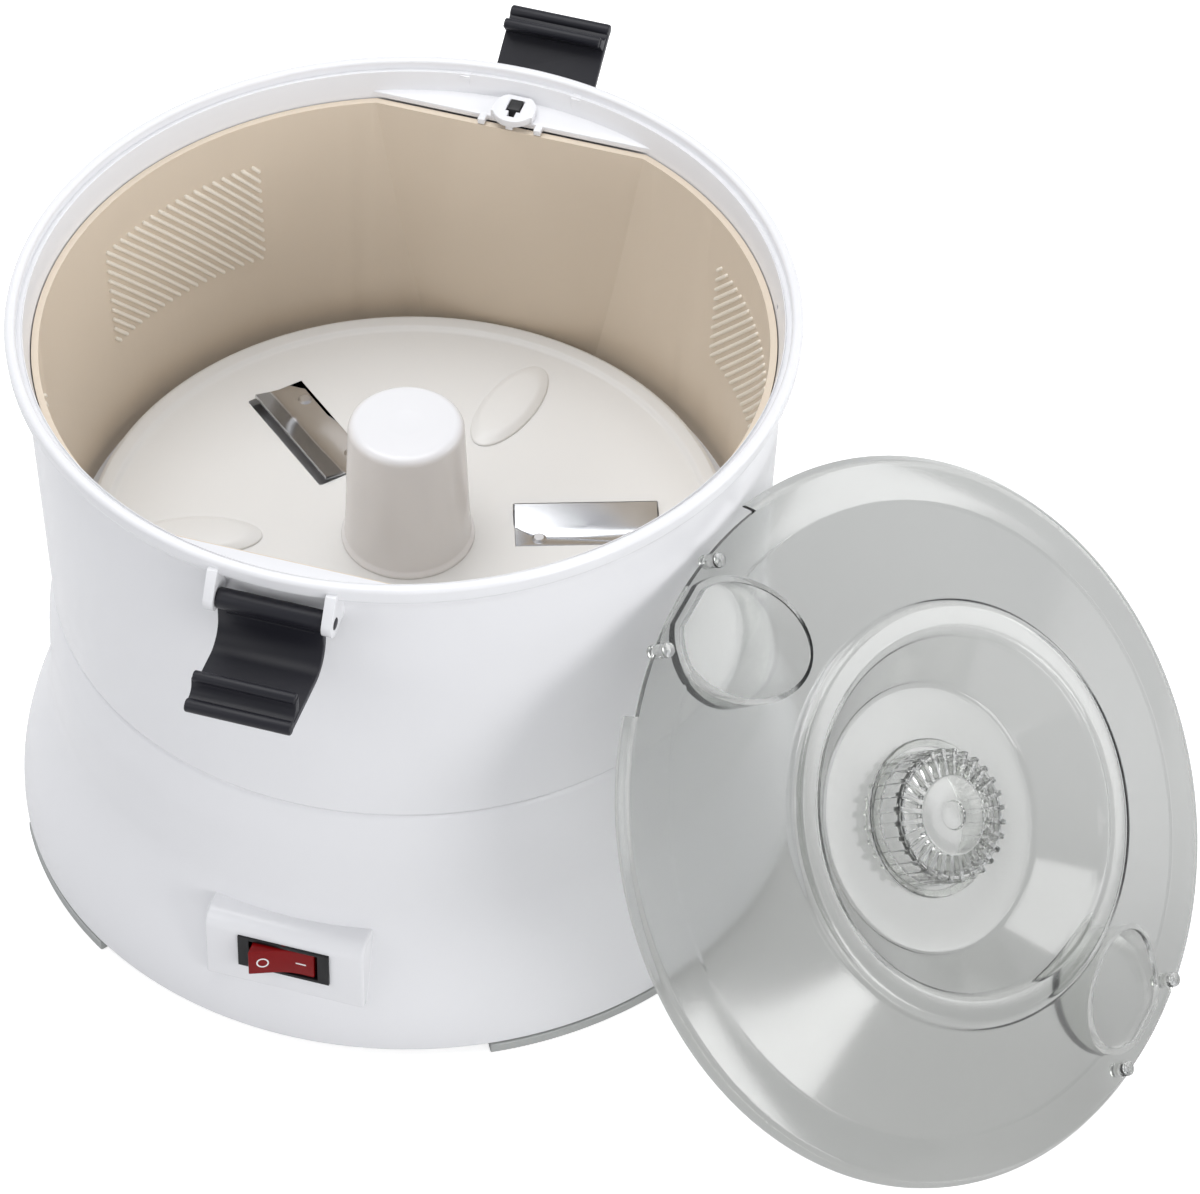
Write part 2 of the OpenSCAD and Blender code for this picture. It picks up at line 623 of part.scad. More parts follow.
// A box given by its inner end, length, side, width and levels
module block_at(x, length, y, width, z0, z1)
    translate([x, y, z0]) cube([length, width, z1 - z0]);

// A steel strip let into the disc, whose edge rises over its slot
module blade(i) color("silver") on_side(i * 360 / blades) difference() {
    union() {
        block_at(blade_at + 0.5, blade_l, -7, 9, disc_top - 1, disc_top);
        translate([0, 1.6, disc_top]) rotate([14, 0, 0])
            block_at(blade_at + 0.5, blade_l, 0, blade_w, -1, 0);
    }
    for (x = [8, blade_l - 8]) translate([blade_at + x, -3.5, disc_top - 8])
        cylinder(r = 1.5, h = 9, $fn = 32);
}

module blade_rivets() color("gray") for (i = [0:blades - 1], x = [8, blade_l - 8])
    on_side(i * 360 / blades) translate([blade_at + x, -3.5, disc_top - disc_t - 0.8]) {
        cylinder(r = 2.6, h = 0.8, $fn = 32);
        cylinder(r = 1.45, h = disc_t + 0.9, $fn = 32);
        translate([0, 0, disc_t + 0.8]) cylinder(r1 = 2.4, r2 = 1.6, h = 0.7, $fn = 32);
    }

module centre_column() color("white") on_axis() difference() {
    union() {
        rotate_extrude() polygon([[0, disc_top], [column_r + 2, disc_top],
            [column_r, column_top - 2], [column_r - 0.6, column_top - 0.7],
            [column_r - 2, column_top], [0, column_top]]);
    }
    difference() {
        translate([0, 0, disc_top - 1]) cylinder(r = column_r - 2.2, h = column_h - 1.4);
        for (a = [60:120:300]) rotate([0, 0, a])
            translate([column_screw_r, 0, disc_top - 2]) cylinder(r = 3.4, h = 80, $fn = 32);
    }
    translate([0, 0, disc_top - 1]) cylinder(r = hub_r + 0.2, h = dog_z + dog_h + 4 - disc_top);
    for (a = [60:120:300]) rotate([0, 0, a]) translate([column_screw_r, 0, disc_top - 2])
        cylinder(r = 1.5, h = 16, $fn = 32);
}

module column_screws() color("silver") for (a = [60:120:300]) on_side(a)
    translate([column_screw_r, 0, disc_top - disc_t]) screw(1.4, disc_t + 11);

// ---- Spindle and its bearings ----

module drive_dog() color("dimgray") on_axis() translate([0, 0, dog_z]) difference() {
    cylinder(r = dog_r, h = dog_h, $fn = 6);
    translate([0, 0, -1]) cylinder(r = spindle_r + 0.01, h = dog_h + 2);
}

spindle_low = plate_z - 6;

module spindle() color("lightgray") on_axis() difference() {
    translate([0, 0, spindle_low]) cylinder(r = spindle_r, h = dog_z + dog_h - spindle_low);
    translate([0, 0, spindle_low + 1]) tube(spindle_r + 1, spindle_r - 0.7, 1.2);
}

module spindle_clip() color("gray") on_axis() translate([0, 0, spindle_low + 1.1]) difference() {
    cylinder(r = spindle_r + 2, h = 1);
    translate([0, 0, -1]) cylinder(r = spindle_r - 0.65, h = 3);
    block(0, 3 * spindle_r, spindle_r, -1, 2);
}

module upper_bush() color("peru") on_axis() translate([0, 0, deck_z - 7])
    tube(bush_r, spindle_r + fit, deck_top - deck_z + 7);

module lower_bush() color("peru") on_axis() translate([0, 0, plate_z - 3])
    tube(bush_r, spindle_r + fit, plate_t + 3);

module thrust_washer() color("silver") on_axis() translate([0, 0, plate_top])
    tube(bush_r + 1.5, spindle_r + 0.2, 0.8);

module shaft_seal() color([0.12, 0.12, 0.12]) on_axis() translate([0, 0, neck_top - 4])
    tube(bush_r - seat, spindle_r + 0.02, 4);

module output_gear() color("ivory") on_axis() difference() {
    union() {
        translate([0, 0, out_z]) rotate([0, 0, idler_az]) gear(out_teeth, out_t);
        translate([0, 0, plate_top + 0.9]) cylinder(r = bush_r + 3, h = out_z + 1 - plate_top);
    }
    translate([0, 0, plate_top]) cylinder(r = spindle_r + 0.01, h = 40);
    translate([0, 0, out_z + 2.5]) tube(tip_r(out_teeth) - 6, bush_r + 5, out_t);
}

// ---- Gear plate, idler and motor ----

module at_motor(z) on_axis() translate([motor_xy[0], motor_xy[1], z]) children();

module at_idler(z) on_axis() translate([idler_xy[0], idler_xy[1], z]) children();

module gear_plate() color("lightsteelblue") difference() {
    union() {
        on_axis() translate([0, 0, plate_z]) {
            cylinder(r = gear_clear, h = plate_t);
            translate([0, 0, -3]) cylinder(r = bush_r + 3, h = 4);
            for (p = plate_posts) translate([p[0], p[1], 0])
                cylinder(r = post_r + 2, h = plate_t, $fn = 48);
        }
        at_idler(plate_z) cylinder(r = 14, h = plate_t);
        at_motor(plate_z) cylinder(r = motor_r + 6, h = plate_t);
    }
    on_axis() translate([0, 0, plate_z - 4]) {
        cylinder(r = bush_r + seat, h = 10);
        for (p = plate_posts) translate([p[0], p[1], 0]) cylinder(r = 1.9, h = 10, $fn = 32);
    }
    at_idler(plate_z - 1) cylinder(r = 3 + seat, h = 10);
    at_motor(plate_z - 1) {
        cylinder(r = 6, h = 10);
        for (x = [-13, 13]) translate([x, 0, 0]) cylinder(r = 1.7, h = 10, $fn = 32);
    }
}

module plate_screws() color("silver") for (p = plate_posts)
    on_axis() translate([p[0], p[1], plate_z]) screw(1.6, plate_t + 10);

module idler_gear() color("ivory") at_idler(0) difference() {
    union() {
        translate([0, 0, large_z]) rotate([0, 0, motor_az]) gear(large_teeth, small_z - large_z);
        translate([0, 0, small_z - 0.5])
            rotate([0, 0, idler_az + 180 + 180 / small_teeth]) gear(small_teeth, small_t + 0.5);
        translate([0, 0, plate_top + 0.3]) cylinder(r = 6, h = 4);
    }
    cylinder(r = 3 + fit, h = 200);
}

idler_top = small_z + small_t;

module idler_axle() color("lightgray") at_idler(plate_z - 1.5) {
    cylinder(r = 4.4, h = 1.5);
    cylinder(r = 3, h = idler_top + 3 - plate_z);
}

module idler_clip() color("gray") at_idler(idler_top + 0.2) difference() {
    cylinder(r = 5, h = 0.9);
    translate([0, 0, -1]) cylinder(r = 3.01, h = 3);
    block(0, 12, 3, -1, 2);
}

motor_low = plate_z - motor_l;
motor_shaft_r = 2.5;
core_r = motor_r - 8.5;

module motor_shaft() color("lightgray") at_motor(motor_low - 5)
    cylinder(r = motor_shaft_r, h = pinion_z + pinion_t + 1 - motor_low + 5);

module motor_pinion() color("goldenrod") at_motor(pinion_z) difference() {
    rotate([0, 0, motor_az + 180 + 180 / pinion_teeth]) gear(pinion_teeth, pinion_t);
    translate([0, 0, -1]) cylinder(r = motor_shaft_r + 0.01, h = pinion_t + 2);
}

module motor_armature() color("chocolate") at_motor(motor_low + 16) difference() {
    cylinder(r = core_r, h = motor_l - 27);
    translate([0, 0, -1]) cylinder(r = motor_shaft_r + 0.01, h = motor_l);
    for (a = [0:45:315]) rotate([0, 0, a]) block(core_r - 6, core_r + 1, 2, -1, motor_l);
}

module commutator() color("peru") at_motor(motor_low + 5.5)
    tube(7, motor_shaft_r + 0.01, 9);

module motor_fan() color("ivory") at_motor(motor_l + motor_low - 10.5) difference() {
    union() {
        cylinder(r = 6, h = 5);
        cylinder(r = core_r + 2, h = 1);
        for (a = [0:60:300]) rotate([0, 0, a]) block(4, core_r + 1.5, 1.2, 0, 5);
    }
    translate([0, 0, -1]) cylinder(r = motor_shaft_r + 0.01, h = 8);
}

module motor_can() color("silver") at_motor(motor_low) difference() {
    cylinder(r = motor_r, h = motor_l);
    translate([0, 0, -1]) cylinder(r = motor_r - 1.5, h = motor_l - 0.5);
    cylinder(r = 5.5 + seat, h = motor_l + 1);
    for (x = [-13, 13]) translate([x, 0, 0]) cylinder(r = 1.6, h = motor_l + 1, $fn = 32);
}

module motor_end_cap() color([0.2, 0.2, 0.22]) at_motor(motor_low - 3) difference() {
    union() {
        cylinder(r = motor_r, h = 3);
        cylinder(r = motor_r - 1.6, h = 5);
    }
    translate([0, 0, -1]) cylinder(r = 5.5 + seat, h = 8);
    for (a = [45:90:315]) rotate([0, 0, a]) block(10, 18, 4, -1, 8);
}

module motor_magnets() color([0.25, 0.25, 0.27]) at_motor(motor_low + 14) for (a = [20, 200])
    rotate([0, 0, a]) rotate_extrude(angle = 140) translate([core_r + 1, 0])
        square([motor_r - 1.6 - core_r - 1, motor_l - 25.5]);

module motor_brushes() color([0.15, 0.15, 0.15]) at_motor(motor_low) for (a = [0, 180])
    rotate([0, 0, a]) block(7.15, 14, 5, 2.1, 13);

module motor_bush_top() color("peru") at_motor(motor_low + motor_l - 4)
    tube(5.5, motor_shaft_r + fit, 4);

module motor_bush_low() color("peru") at_motor(motor_low - 3)
    tube(5.5, motor_shaft_r + fit, 5);

module motor_screws() color("silver") for (x = [-13, 13])
    at_motor(plate_top) translate([x, 0, 0]) rotate([180, 0, 0]) screw(1.5, 3.8);

// ---- Lid, in its own frame: its edge lies in z = 0 and its outside faces +Z ----

module lid_under() rotate_extrude($fn = 180) polygon(concat([[0, 0], [lid_r, 0]], lid_top,
    [[0, dish_h]]));

// A half-round well in the brim that a latch hooks into, on the +X side
module pocket_shape(grow) intersection() {
    translate([pocket_x, 0, 0]) cylinder(r = pocket_r + grow, h = 40, $fn = 96);
    block(0, brim_r + 2 + grow, 3 * pocket_r, 0, 40);
}

module lid_shell() color([0.85, 0.87, 0.87, 0.5]) in_lid() {
    last = len(lid_top) - 1;
    difference() {
        union() {
            difference() {
                rotate_extrude($fn = 180) polygon(concat(lid_top,
                    [for (i = [last:-1:0]) [lid_top[i][0], lid_top[i][1] - lid_t]]));
                for (a = [0, 180]) rotate([0, 0, lid_turn + a]) pocket_shape(0);
            }
            for (a = [0, 180]) rotate([0, 0, lid_turn + a]) {
                intersection() {
                    lid_under();
                    difference() {
                        pocket_shape(lid_t - 0.4);
                        translate([0, 0, pocket_low + lid_t]) pocket_shape(0);
                        translate([0, 0, -1]) cylinder(r = lid_r, h = pocket_low + 1);
                    }
                }
                for (y = [-1, 1]) translate([brim_r + 3.4, y * (pocket_r - 1), 0])
                    cylinder(r = 2.4, h = 9, $fn = 32);
            }
        }
        rotate([0, 0, lid_turn + 180]) brim_cut(trim_wide);
        rotate([0, 0, lid_turn]) brim_cut(trim_narrow);
    }
}

// Trims the brim's edge over an arc that reaches the given angle to each side
module brim_cut(half) rotate([0, 0, -half]) rotate_extrude(angle = 2 * half, $fn = 180)
    translate([lid_r - trim_depth, -1]) square([10, 8]);

module lid_hub() color([0.9, 0.92, 0.92, 0.5]) in_lid() difference() {
    union() {
        difference() {
            translate([0, 0, 1]) cylinder(r = hub_out - 1, h = hub_h - 2);
            translate([0, 0, hub_h - 3.4]) tube(hub_out - 2.4, cap_r - 0.4, 6);
        }
        translate([0, 0, dish_h]) cylinder(r = hub_out + 4, h = 1.5);
        for (i = [0:hub_teeth - 1]) rotate([0, 0, i * 360 / hub_teeth])
            block(cap_r - 1, hub_out, 1.6, 1, hub_h - 0.4);
        translate([0, 0, hub_h - 4]) cylinder(r = cap_r, h = 4);
    }
    translate([0, 0, -1]) cylinder(r = hub_out - 3, h = hub_h - 4.6);
    translate([0, 0, hub_h - 0.8]) cylinder(r = 4.5, h = 2);
}

base_shell();
bottom_cover();
foot(base_posts[0]);  // foot_front_left
foot(base_posts[1]);  // foot_front_right
foot(base_posts[2]);  // foot_rear_right
foot(base_posts[3]);  // foot_rear_left
bottom_screws();
switch_frame();
rocker();
cord_gland();
terminal_block();
suppressor();
tub();
tub_screws();
liner();
interlock_boss();
interlock_plunger();
interlock_spring();
interlock_switch();
latch(front_az, 0);  // latch_front
latch(rear_az, rear_raise);  // latch_rear
peeling_disc();
blade(0);  // blade_1
blade(1);  // blade_2
blade(2);  // blade_3
blade_rivets();
centre_column();
column_screws();
drive_dog();
spindle();
spindle_clip();
upper_bush();
lower_bush();
thrust_washer();
shaft_seal();
output_gear();
gear_plate();
plate_screws();
idler_gear();
idler_axle();
idler_clip();
motor_pinion();
motor_shaft();
motor_armature();
commutator();
motor_fan();
motor_can();
motor_end_cap();
motor_magnets();
motor_brushes();
motor_bush_top();
motor_bush_low();
motor_screws();
lid_shell();
lid_hub();
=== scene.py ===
import json
import math
import bpy
from mathutils import Euler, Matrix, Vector


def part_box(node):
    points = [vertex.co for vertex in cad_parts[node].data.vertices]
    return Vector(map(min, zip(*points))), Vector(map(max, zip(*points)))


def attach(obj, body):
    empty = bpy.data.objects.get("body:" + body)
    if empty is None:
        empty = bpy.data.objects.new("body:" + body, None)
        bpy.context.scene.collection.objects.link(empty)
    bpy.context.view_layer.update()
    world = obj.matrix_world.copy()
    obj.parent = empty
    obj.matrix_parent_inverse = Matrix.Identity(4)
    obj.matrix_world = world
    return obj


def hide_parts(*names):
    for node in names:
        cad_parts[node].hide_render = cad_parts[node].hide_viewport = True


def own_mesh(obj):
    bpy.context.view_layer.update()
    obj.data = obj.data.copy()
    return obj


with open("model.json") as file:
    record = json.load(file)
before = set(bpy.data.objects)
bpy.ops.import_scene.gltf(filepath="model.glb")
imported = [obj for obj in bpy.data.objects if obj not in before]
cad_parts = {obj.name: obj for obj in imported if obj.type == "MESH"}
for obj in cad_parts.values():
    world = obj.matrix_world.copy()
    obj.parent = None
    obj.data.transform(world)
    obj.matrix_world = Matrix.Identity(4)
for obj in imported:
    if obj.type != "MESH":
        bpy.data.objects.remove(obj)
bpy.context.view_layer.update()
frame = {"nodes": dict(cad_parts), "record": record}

# An electric potato peeler: its looks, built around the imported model.
# Outlines and small sizes are in millimetres, bearings in degrees seen from above.
mm = 0.001
spindleLow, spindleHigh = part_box("spindle")
bodyAxis = ((spindleLow[0] + spindleHigh[0]) / 2, (spindleLow[1] + spindleHigh[1]) / 2)
atAxis = (bodyAxis[0] / mm, bodyAxis[1] / mm, 0)  # where a piece turned about the origin goes
frontAz, rearAz = -109.4, 70.6  # the two latches
latchPin = {"out": 125.5, "level": 193.2, "radius": 2.0}  # shared by the lugs and the latches
tiny = 0.000004  # metres: points closer than this are merged


def makeCamera():
    view = {"rim": 125.0, "back": 13.107, "up": 13.489, "pitch": 44.415, "yaw": 2.166,
            "roll": 0.464, "lens": 211.81, "sensor": 36, "far": 60}
    cameraData = bpy.data.cameras.new("camera")
    cameraData.lens = view["lens"]
    cameraData.sensor_width = view["sensor"]
    cameraData.clip_end = view["far"]
    camera = bpy.data.objects.new("camera", cameraData)
    bpy.context.scene.collection.objects.link(camera)
    reach = view["rim"] * mm
    camera.location = (bodyAxis[0], bodyAxis[1] - view["back"] * reach, view["up"] * reach)
    look = Euler((math.radians(90 - view["pitch"]), 0, -math.radians(view["yaw"])), "XYZ")
    turn = Euler((0, 0, math.radians(view["roll"])), "XYZ")
    camera.rotation_euler = (look.to_matrix() @ turn.to_matrix()).to_euler()
    bpy.context.scene.camera = camera
    bpy.context.scene.view_settings.view_transform = "Standard"
    print("camera set")


def makeLights():
    lamps = {  # place, size in metres, watts, and the point it faces
        "top_box": ((-0.3, 0.5, 2.4), 1.9, 36.0, (0, 0, 0.1)),
        "left_box": ((-2.2, -0.9, 1.5), 1.4, 12.0, (-0.05, 0, 0.1)),
        "front_card": ((0.25, -2.15, 0.42), 0.8, 4.0, (0.05, -0.08, 0.1)),
        "right_box": ((2.3, 0.1, 1.2), 1.1, 14.0, (0.05, 0, 0.1)),
        "low_card": ((1.3, -1.6, 0.45), 0.9, 15.0, (0.09, -0.08, 0.1)),
    }
    for name, (place, size, power, target) in lamps.items():
        lampData = bpy.data.lights.new(name, "AREA")
        lampData.shape = "SQUARE"
        lampData.size = size
        lampData.energy = power
        lamp = bpy.data.objects.new(name, lampData)
        bpy.context.scene.collection.objects.link(lamp)
        lamp.location = place
        aim = Vector(target) - Vector(place)
        lamp.rotation_euler = aim.to_track_quat("-Z", "Y").to_euler()
    print("lights set")


def maths(nodes, links, operation, *values):
    node = nodes.new("ShaderNodeMath")
    node.operation = operation
    for socket, value in zip(node.inputs, values):
        if isinstance(value, (int, float)):
            socket.default_value = value
        else:
            links.new(value, socket)
    return node.outputs[0]


def seenWhite(nodes, links, glossy, through):
    # how much of the plain white each kind of ray sees: the camera all of it
    path = nodes.new("ShaderNodeLightPath")
    mirrored = maths(nodes, links, "MULTIPLY", path.outputs["Is Glossy Ray"], glossy)
    clear = maths(nodes, links, "MULTIPLY", path.outputs["Is Transmission Ray"], through)
    most = maths(nodes, links, "MAXIMUM", mirrored, clear)
    return maths(nodes, links, "MAXIMUM", path.outputs["Is Camera Ray"], most)


def makeWorld():
    studio = {"tint": (0.93, 0.95, 1.0, 1), "strength": 0.54, "inGloss": 0.0, "through": 0.2}
    world = bpy.data.worlds.new("studio")
    bpy.context.scene.world = world
    world.use_nodes = True
    nodes, links = world.node_tree.nodes, world.node_tree.links
    nodes.clear()
    dim = nodes.new("ShaderNodeBackground")
    dim.inputs["Color"].default_value = studio["tint"]
    dim.inputs["Strength"].default_value = studio["strength"]
    white = nodes.new("ShaderNodeBackground")
    white.inputs["Color"].default_value = (1, 1, 1, 1)
    mix = nodes.new("ShaderNodeMixShader")
    links.new(seenWhite(nodes, links, studio["inGloss"], studio["through"]),
              mix.inputs["Fac"])
    links.new(dim.outputs[0], mix.inputs[1])
    links.new(white.outputs[0], mix.inputs[2])
    out = nodes.new("ShaderNodeOutputWorld")
    links.new(mix.outputs[0], out.inputs["Surface"])
    print("world set")


def makeFloor():
    # pale paper that glows plain white for the camera; seen through clear plastic it is greyer, a
    # painted shade that darkens the lid
    sheet = {"size": 40, "below": 0.00005, "shade": 0.62, "through": -0.26, "glow": 0.75,
             "inGloss": 0.35}
    bpy.ops.object.select_all(action="DESELECT")
    bpy.ops.mesh.primitive_plane_add(size=sheet["size"], location=(0, 0, -sheet["below"]))
    floor = bpy.context.object
    floor.name = "floor"
    mat = bpy.data.materials.new("floor")
    mat.use_nodes = True
    nodes, links = mat.node_tree.nodes, mat.node_tree.links
    nodes.clear()
    paper = nodes.new("ShaderNodeBsdfDiffuse")
    path = nodes.new("ShaderNodeLightPath")
    # painted shade: rays through the lid find the paper greyer
    grey = maths(nodes, links, "MULTIPLY_ADD", path.outputs["Is Transmission Ray"],
                 sheet["through"], sheet["shade"])
    links.new(grey, paper.inputs["Color"])
    glow = nodes.new("ShaderNodeEmission")
    glow.inputs["Color"].default_value = (1, 1, 1, 1)
    both = nodes.new("ShaderNodeAddShader")
    seen = seenWhite(nodes, links, sheet["inGloss"], 0.0)
    links.new(maths(nodes, links, "MULTIPLY", seen, sheet["glow"]), glow.inputs["Strength"])
    links.new(paper.outputs[0], both.inputs[0])
    links.new(glow.outputs[0], both.inputs[1])
    out = nodes.new("ShaderNodeOutputMaterial")
    links.new(both.outputs[0], out.inputs["Surface"])
    floor.data.materials.append(mat)
    print("floor made")


def mouldGroup():
    # fine moulded skin: a little unevenness in gloss, and a faint waviness
    fineDetail, broadScale, broadDetail = 3, 14, 2
    group = bpy.data.node_groups.new("mouldedSkin", "ShaderNodeTree")
    face = group.interface
    for name, value in (("Scale", 400.0), ("Gloss", 0.25), ("Gloss change", 0.08),
                        ("Grain", 0.02), ("Wave", 0.02)):
        socket = face.new_socket(name, in_out="INPUT", socket_type="NodeSocketFloat")
        socket.default_value = value
    face.new_socket("Roughness", in_out="OUTPUT", socket_type="NodeSocketFloat")
    face.new_socket("Height", in_out="OUTPUT", socket_type="NodeSocketFloat")
    face.new_socket("Tone", in_out="OUTPUT", socket_type="NodeSocketFloat")
    nodes, links = group.nodes, group.links
    put = nodes.new("NodeGroupInput")
    out = nodes.new("NodeGroupOutput")
    coords = nodes.new("ShaderNodeTexCoord")
    fine = nodes.new("ShaderNodeTexNoise")
    fine.inputs["Detail"].default_value = fineDetail
    links.new(coords.outputs["Object"], fine.inputs["Vector"])
    links.new(put.outputs["Scale"], fine.inputs["Scale"])
    broad = nodes.new("ShaderNodeTexNoise")
    broad.inputs["Scale"].default_value = broadScale
    broad.inputs["Detail"].default_value = broadDetail
    links.new(coords.outputs["Object"], broad.inputs["Vector"])

    drift = maths(nodes, links, "SUBTRACT", broad.outputs["Fac"], 0.5)
    gloss = maths(nodes, links, "MULTIPLY_ADD", drift, put.outputs["Gloss change"],
                  put.outputs["Gloss"])
    links.new(gloss, out.inputs["Roughness"])
    grain = maths(nodes, links, "MULTIPLY", fine.outputs["Fac"], put.outputs["Grain"])
    height = maths(nodes, links, "MULTIPLY_ADD", broad.outputs["Fac"], put.outputs["Wave"],
                   grain)
    links.new(height, out.inputs["Height"])
    links.new(broad.outputs["Fac"], out.inputs["Tone"])
    return group


skin = mouldGroup()


def plastic(name, colour, gloss=0.25, scale=400.0, grain=0.02, wave=0.02, change=0.08,
            shade=0.96, **extra):
    # moulded plastic: its colour drifts a little towards a shade of itself
    relief = {"strength": 0.35, "depth": 0.001}
    mat = bpy.data.materials.new(name)
    mat.use_nodes = True
    nodes, links = mat.node_tree.nodes, mat.node_tree.links
    bsdf = nodes["Principled BSDF"]
    for socket, value in extra.items():
        bsdf.inputs[socket.replace("_", " ")].default_value = value
    look = nodes.new("ShaderNodeGroup")
    look.node_tree = skin
    for socket, value in (("Scale", scale), ("Gloss", gloss), ("Gloss change", change),
                          ("Grain", grain), ("Wave", wave)):
        look.inputs[socket].default_value = value
    tint = nodes.new("ShaderNodeMix")
    tint.data_type = "RGBA"
    links.new(look.outputs["Tone"], tint.inputs["Factor"])
    tint.inputs["A"].default_value = (*colour, 1)
    tint.inputs["B"].default_value = (*[part * shade for part in colour], 1)
    links.new(tint.outputs["Result"], bsdf.inputs["Base Color"])
    links.new(look.outputs["Roughness"], bsdf.inputs["Roughness"])
    bump = nodes.new("ShaderNodeBump")
    bump.inputs["Strength"].default_value = relief["strength"]
    bump.inputs["Distance"].default_value = relief["depth"]
    links.new(look.outputs["Height"], bump.inputs["Height"])
    links.new(bump.outputs["Normal"], bsdf.inputs["Normal"])
    return mat


def makeFinishes():
    steel = dict(Metallic=1.0, Anisotropic=0.4)
    return {
        "white_gloss": plastic("whiteGloss", (0.80, 0.80, 0.815), gloss=0.24, wave=0.05),
        "disc_white": plastic("discWhite", (0.76, 0.76, 0.75), gloss=0.36, grain=0.1),
        "cover_grey": plastic("coverGrey", (0.62, 0.62, 0.61), gloss=0.5, grain=0.2),
        "foot_grey": plastic("footGrey", (0.42, 0.43, 0.42), gloss=0.7, grain=0.25),
        "liner_beige": plastic("linerBeige", (0.70, 0.60, 0.48), gloss=0.42, grain=0.06),
        "latch_black": plastic("latchBlack", (0.013, 0.013, 0.018), gloss=0.42, grain=0.1,
                               Specular_IOR_Level=0.3),
        "switch_black": plastic("switchBlack", (0.008, 0.008, 0.009), gloss=0.3,
                                Specular_IOR_Level=0.3),
        "rocker_red": plastic("rockerRed", (0.20, 0.004, 0.005), gloss=0.16,
                              Specular_IOR_Level=0.18),
        "plunger_black": plastic("plungerBlack", (0.012, 0.012, 0.012), gloss=0.4),
        "gland_grey": plastic("glandGrey", (0.05, 0.05, 0.055), gloss=0.5, grain=0.15),
        "terminal_ivory": plastic("terminalIvory", (0.68, 0.62, 0.45), gloss=0.5),
        "film_yellow": plastic("filmYellow", (0.5, 0.27, 0.03), gloss=0.2),
        "screw_steel": plastic("screwSteel", (0.55, 0.55, 0.56), gloss=0.32, **steel),
        "spring_steel": plastic("springSteel", (0.42, 0.42, 0.45), gloss=0.28, **steel),
        "blade_steel": plastic("bladeSteel", (0.62, 0.63, 0.65), gloss=0.22, **steel),
        "shaft_steel": plastic("shaftSteel", (0.5, 0.5, 0.52), gloss=0.2, **steel),
        "dog_black": plastic("dogBlack", (0.02, 0.02, 0.022), gloss=0.5, grain=0.2),
        "seal_rubber": plastic("sealRubber", (0.015, 0.015, 0.015), gloss=0.7),
        "bronze": plastic("bronze", (0.36, 0.19, 0.08), gloss=0.45, grain=0.3, Metallic=1.0),
        "gear_nylon": plastic("gearNylon", (0.72, 0.68, 0.55), gloss=0.42),
        "pinion_brass": plastic("pinionBrass", (0.6, 0.42, 0.14), gloss=0.25, Metallic=1.0),
        "plate_zinc": plastic("plateZinc", (0.42, 0.46, 0.52), gloss=0.38, Metallic=1.0),
        "can_steel": plastic("canSteel", (0.42, 0.42, 0.43), gloss=0.33, **steel),
        "ferrite": plastic("ferrite", (0.02, 0.02, 0.023), gloss=0.6, grain=0.25),
        "winding_copper": plastic("windingCopper", (0.45, 0.13, 0.04), gloss=0.35, Metallic=1.0),
        "carbon": plastic("carbon", (0.02, 0.02, 0.02), gloss=0.6, grain=0.3),
        "lid_clear": plastic("lidClear", (0.80, 0.81, 0.79), gloss=0.1, change=0.02,
                             wave=0.05, shade=0.98, Transmission_Weight=1.0, IOR=1.49),
        # painted light: the ribs are the liner's own beige drawn lighter, as if catching the
        # light
        "rib": plastic("linerRibPaintedLight", (0.86, 0.80, 0.70), gloss=0.4, grain=0.05),
        "mark": plastic("switchMark", (0.86, 0.86, 0.86), gloss=0.4),
    }


def onlySelect(piece):
    bpy.ops.object.select_all(action="DESELECT")
    piece.select_set(True)
    bpy.context.view_layer.objects.active = piece


def rounded(corners, closed=True, fine=10):
    # corners are (x, z) or (x, z, radius); a corner with a radius becomes an arc
    straight = 1.55  # radians: half the angle at a corner that hardly turns
    mostOfEdge = 0.49  # an arc takes up less than half of each edge
    points = []
    for index, corner in enumerate(corners):
        here = Vector(corner[:2])
        radius = corner[2] if len(corner) > 2 else 0
        if not radius or (not closed and index in (0, len(corners) - 1)):
            points.append(tuple(here))
            continue
        back = Vector(corners[index - 1][:2]) - here
        ahead = Vector(corners[(index + 1) % len(corners)][:2]) - here
        half = back.angle(ahead) / 2
        if half > straight:
            points.append(tuple(here))
            continue
        reach = min(radius / math.tan(half), mostOfEdge * back.length,
                    mostOfEdge * ahead.length)
        radius = reach * math.tan(half)
        centre = here + (back.normalized() + ahead.normalized()).normalized() \
            * radius / math.sin(half)
        first = here + back.normalized() * reach - centre
        last = here + ahead.normalized() * reach - centre
        sweep = first.angle(last)
        turns = max(2, math.ceil(math.degrees(sweep) / fine))
        for turn in range(turns + 1):
            part = turn / turns
            point = centre + (first * math.sin((1 - part) * sweep)
                              + last * math.sin(part * sweep)) / math.sin(sweep)
            points.append((point.x, point.y))
    return points


def arcPoints(x, z, radius, start, end, count=12):
    return [(x + radius * math.cos(math.radians(start + (end - start) * k / count)),
             z + radius * math.sin(math.radians(start + (end - start) * k / count)))
            for k in range(count + 1)]


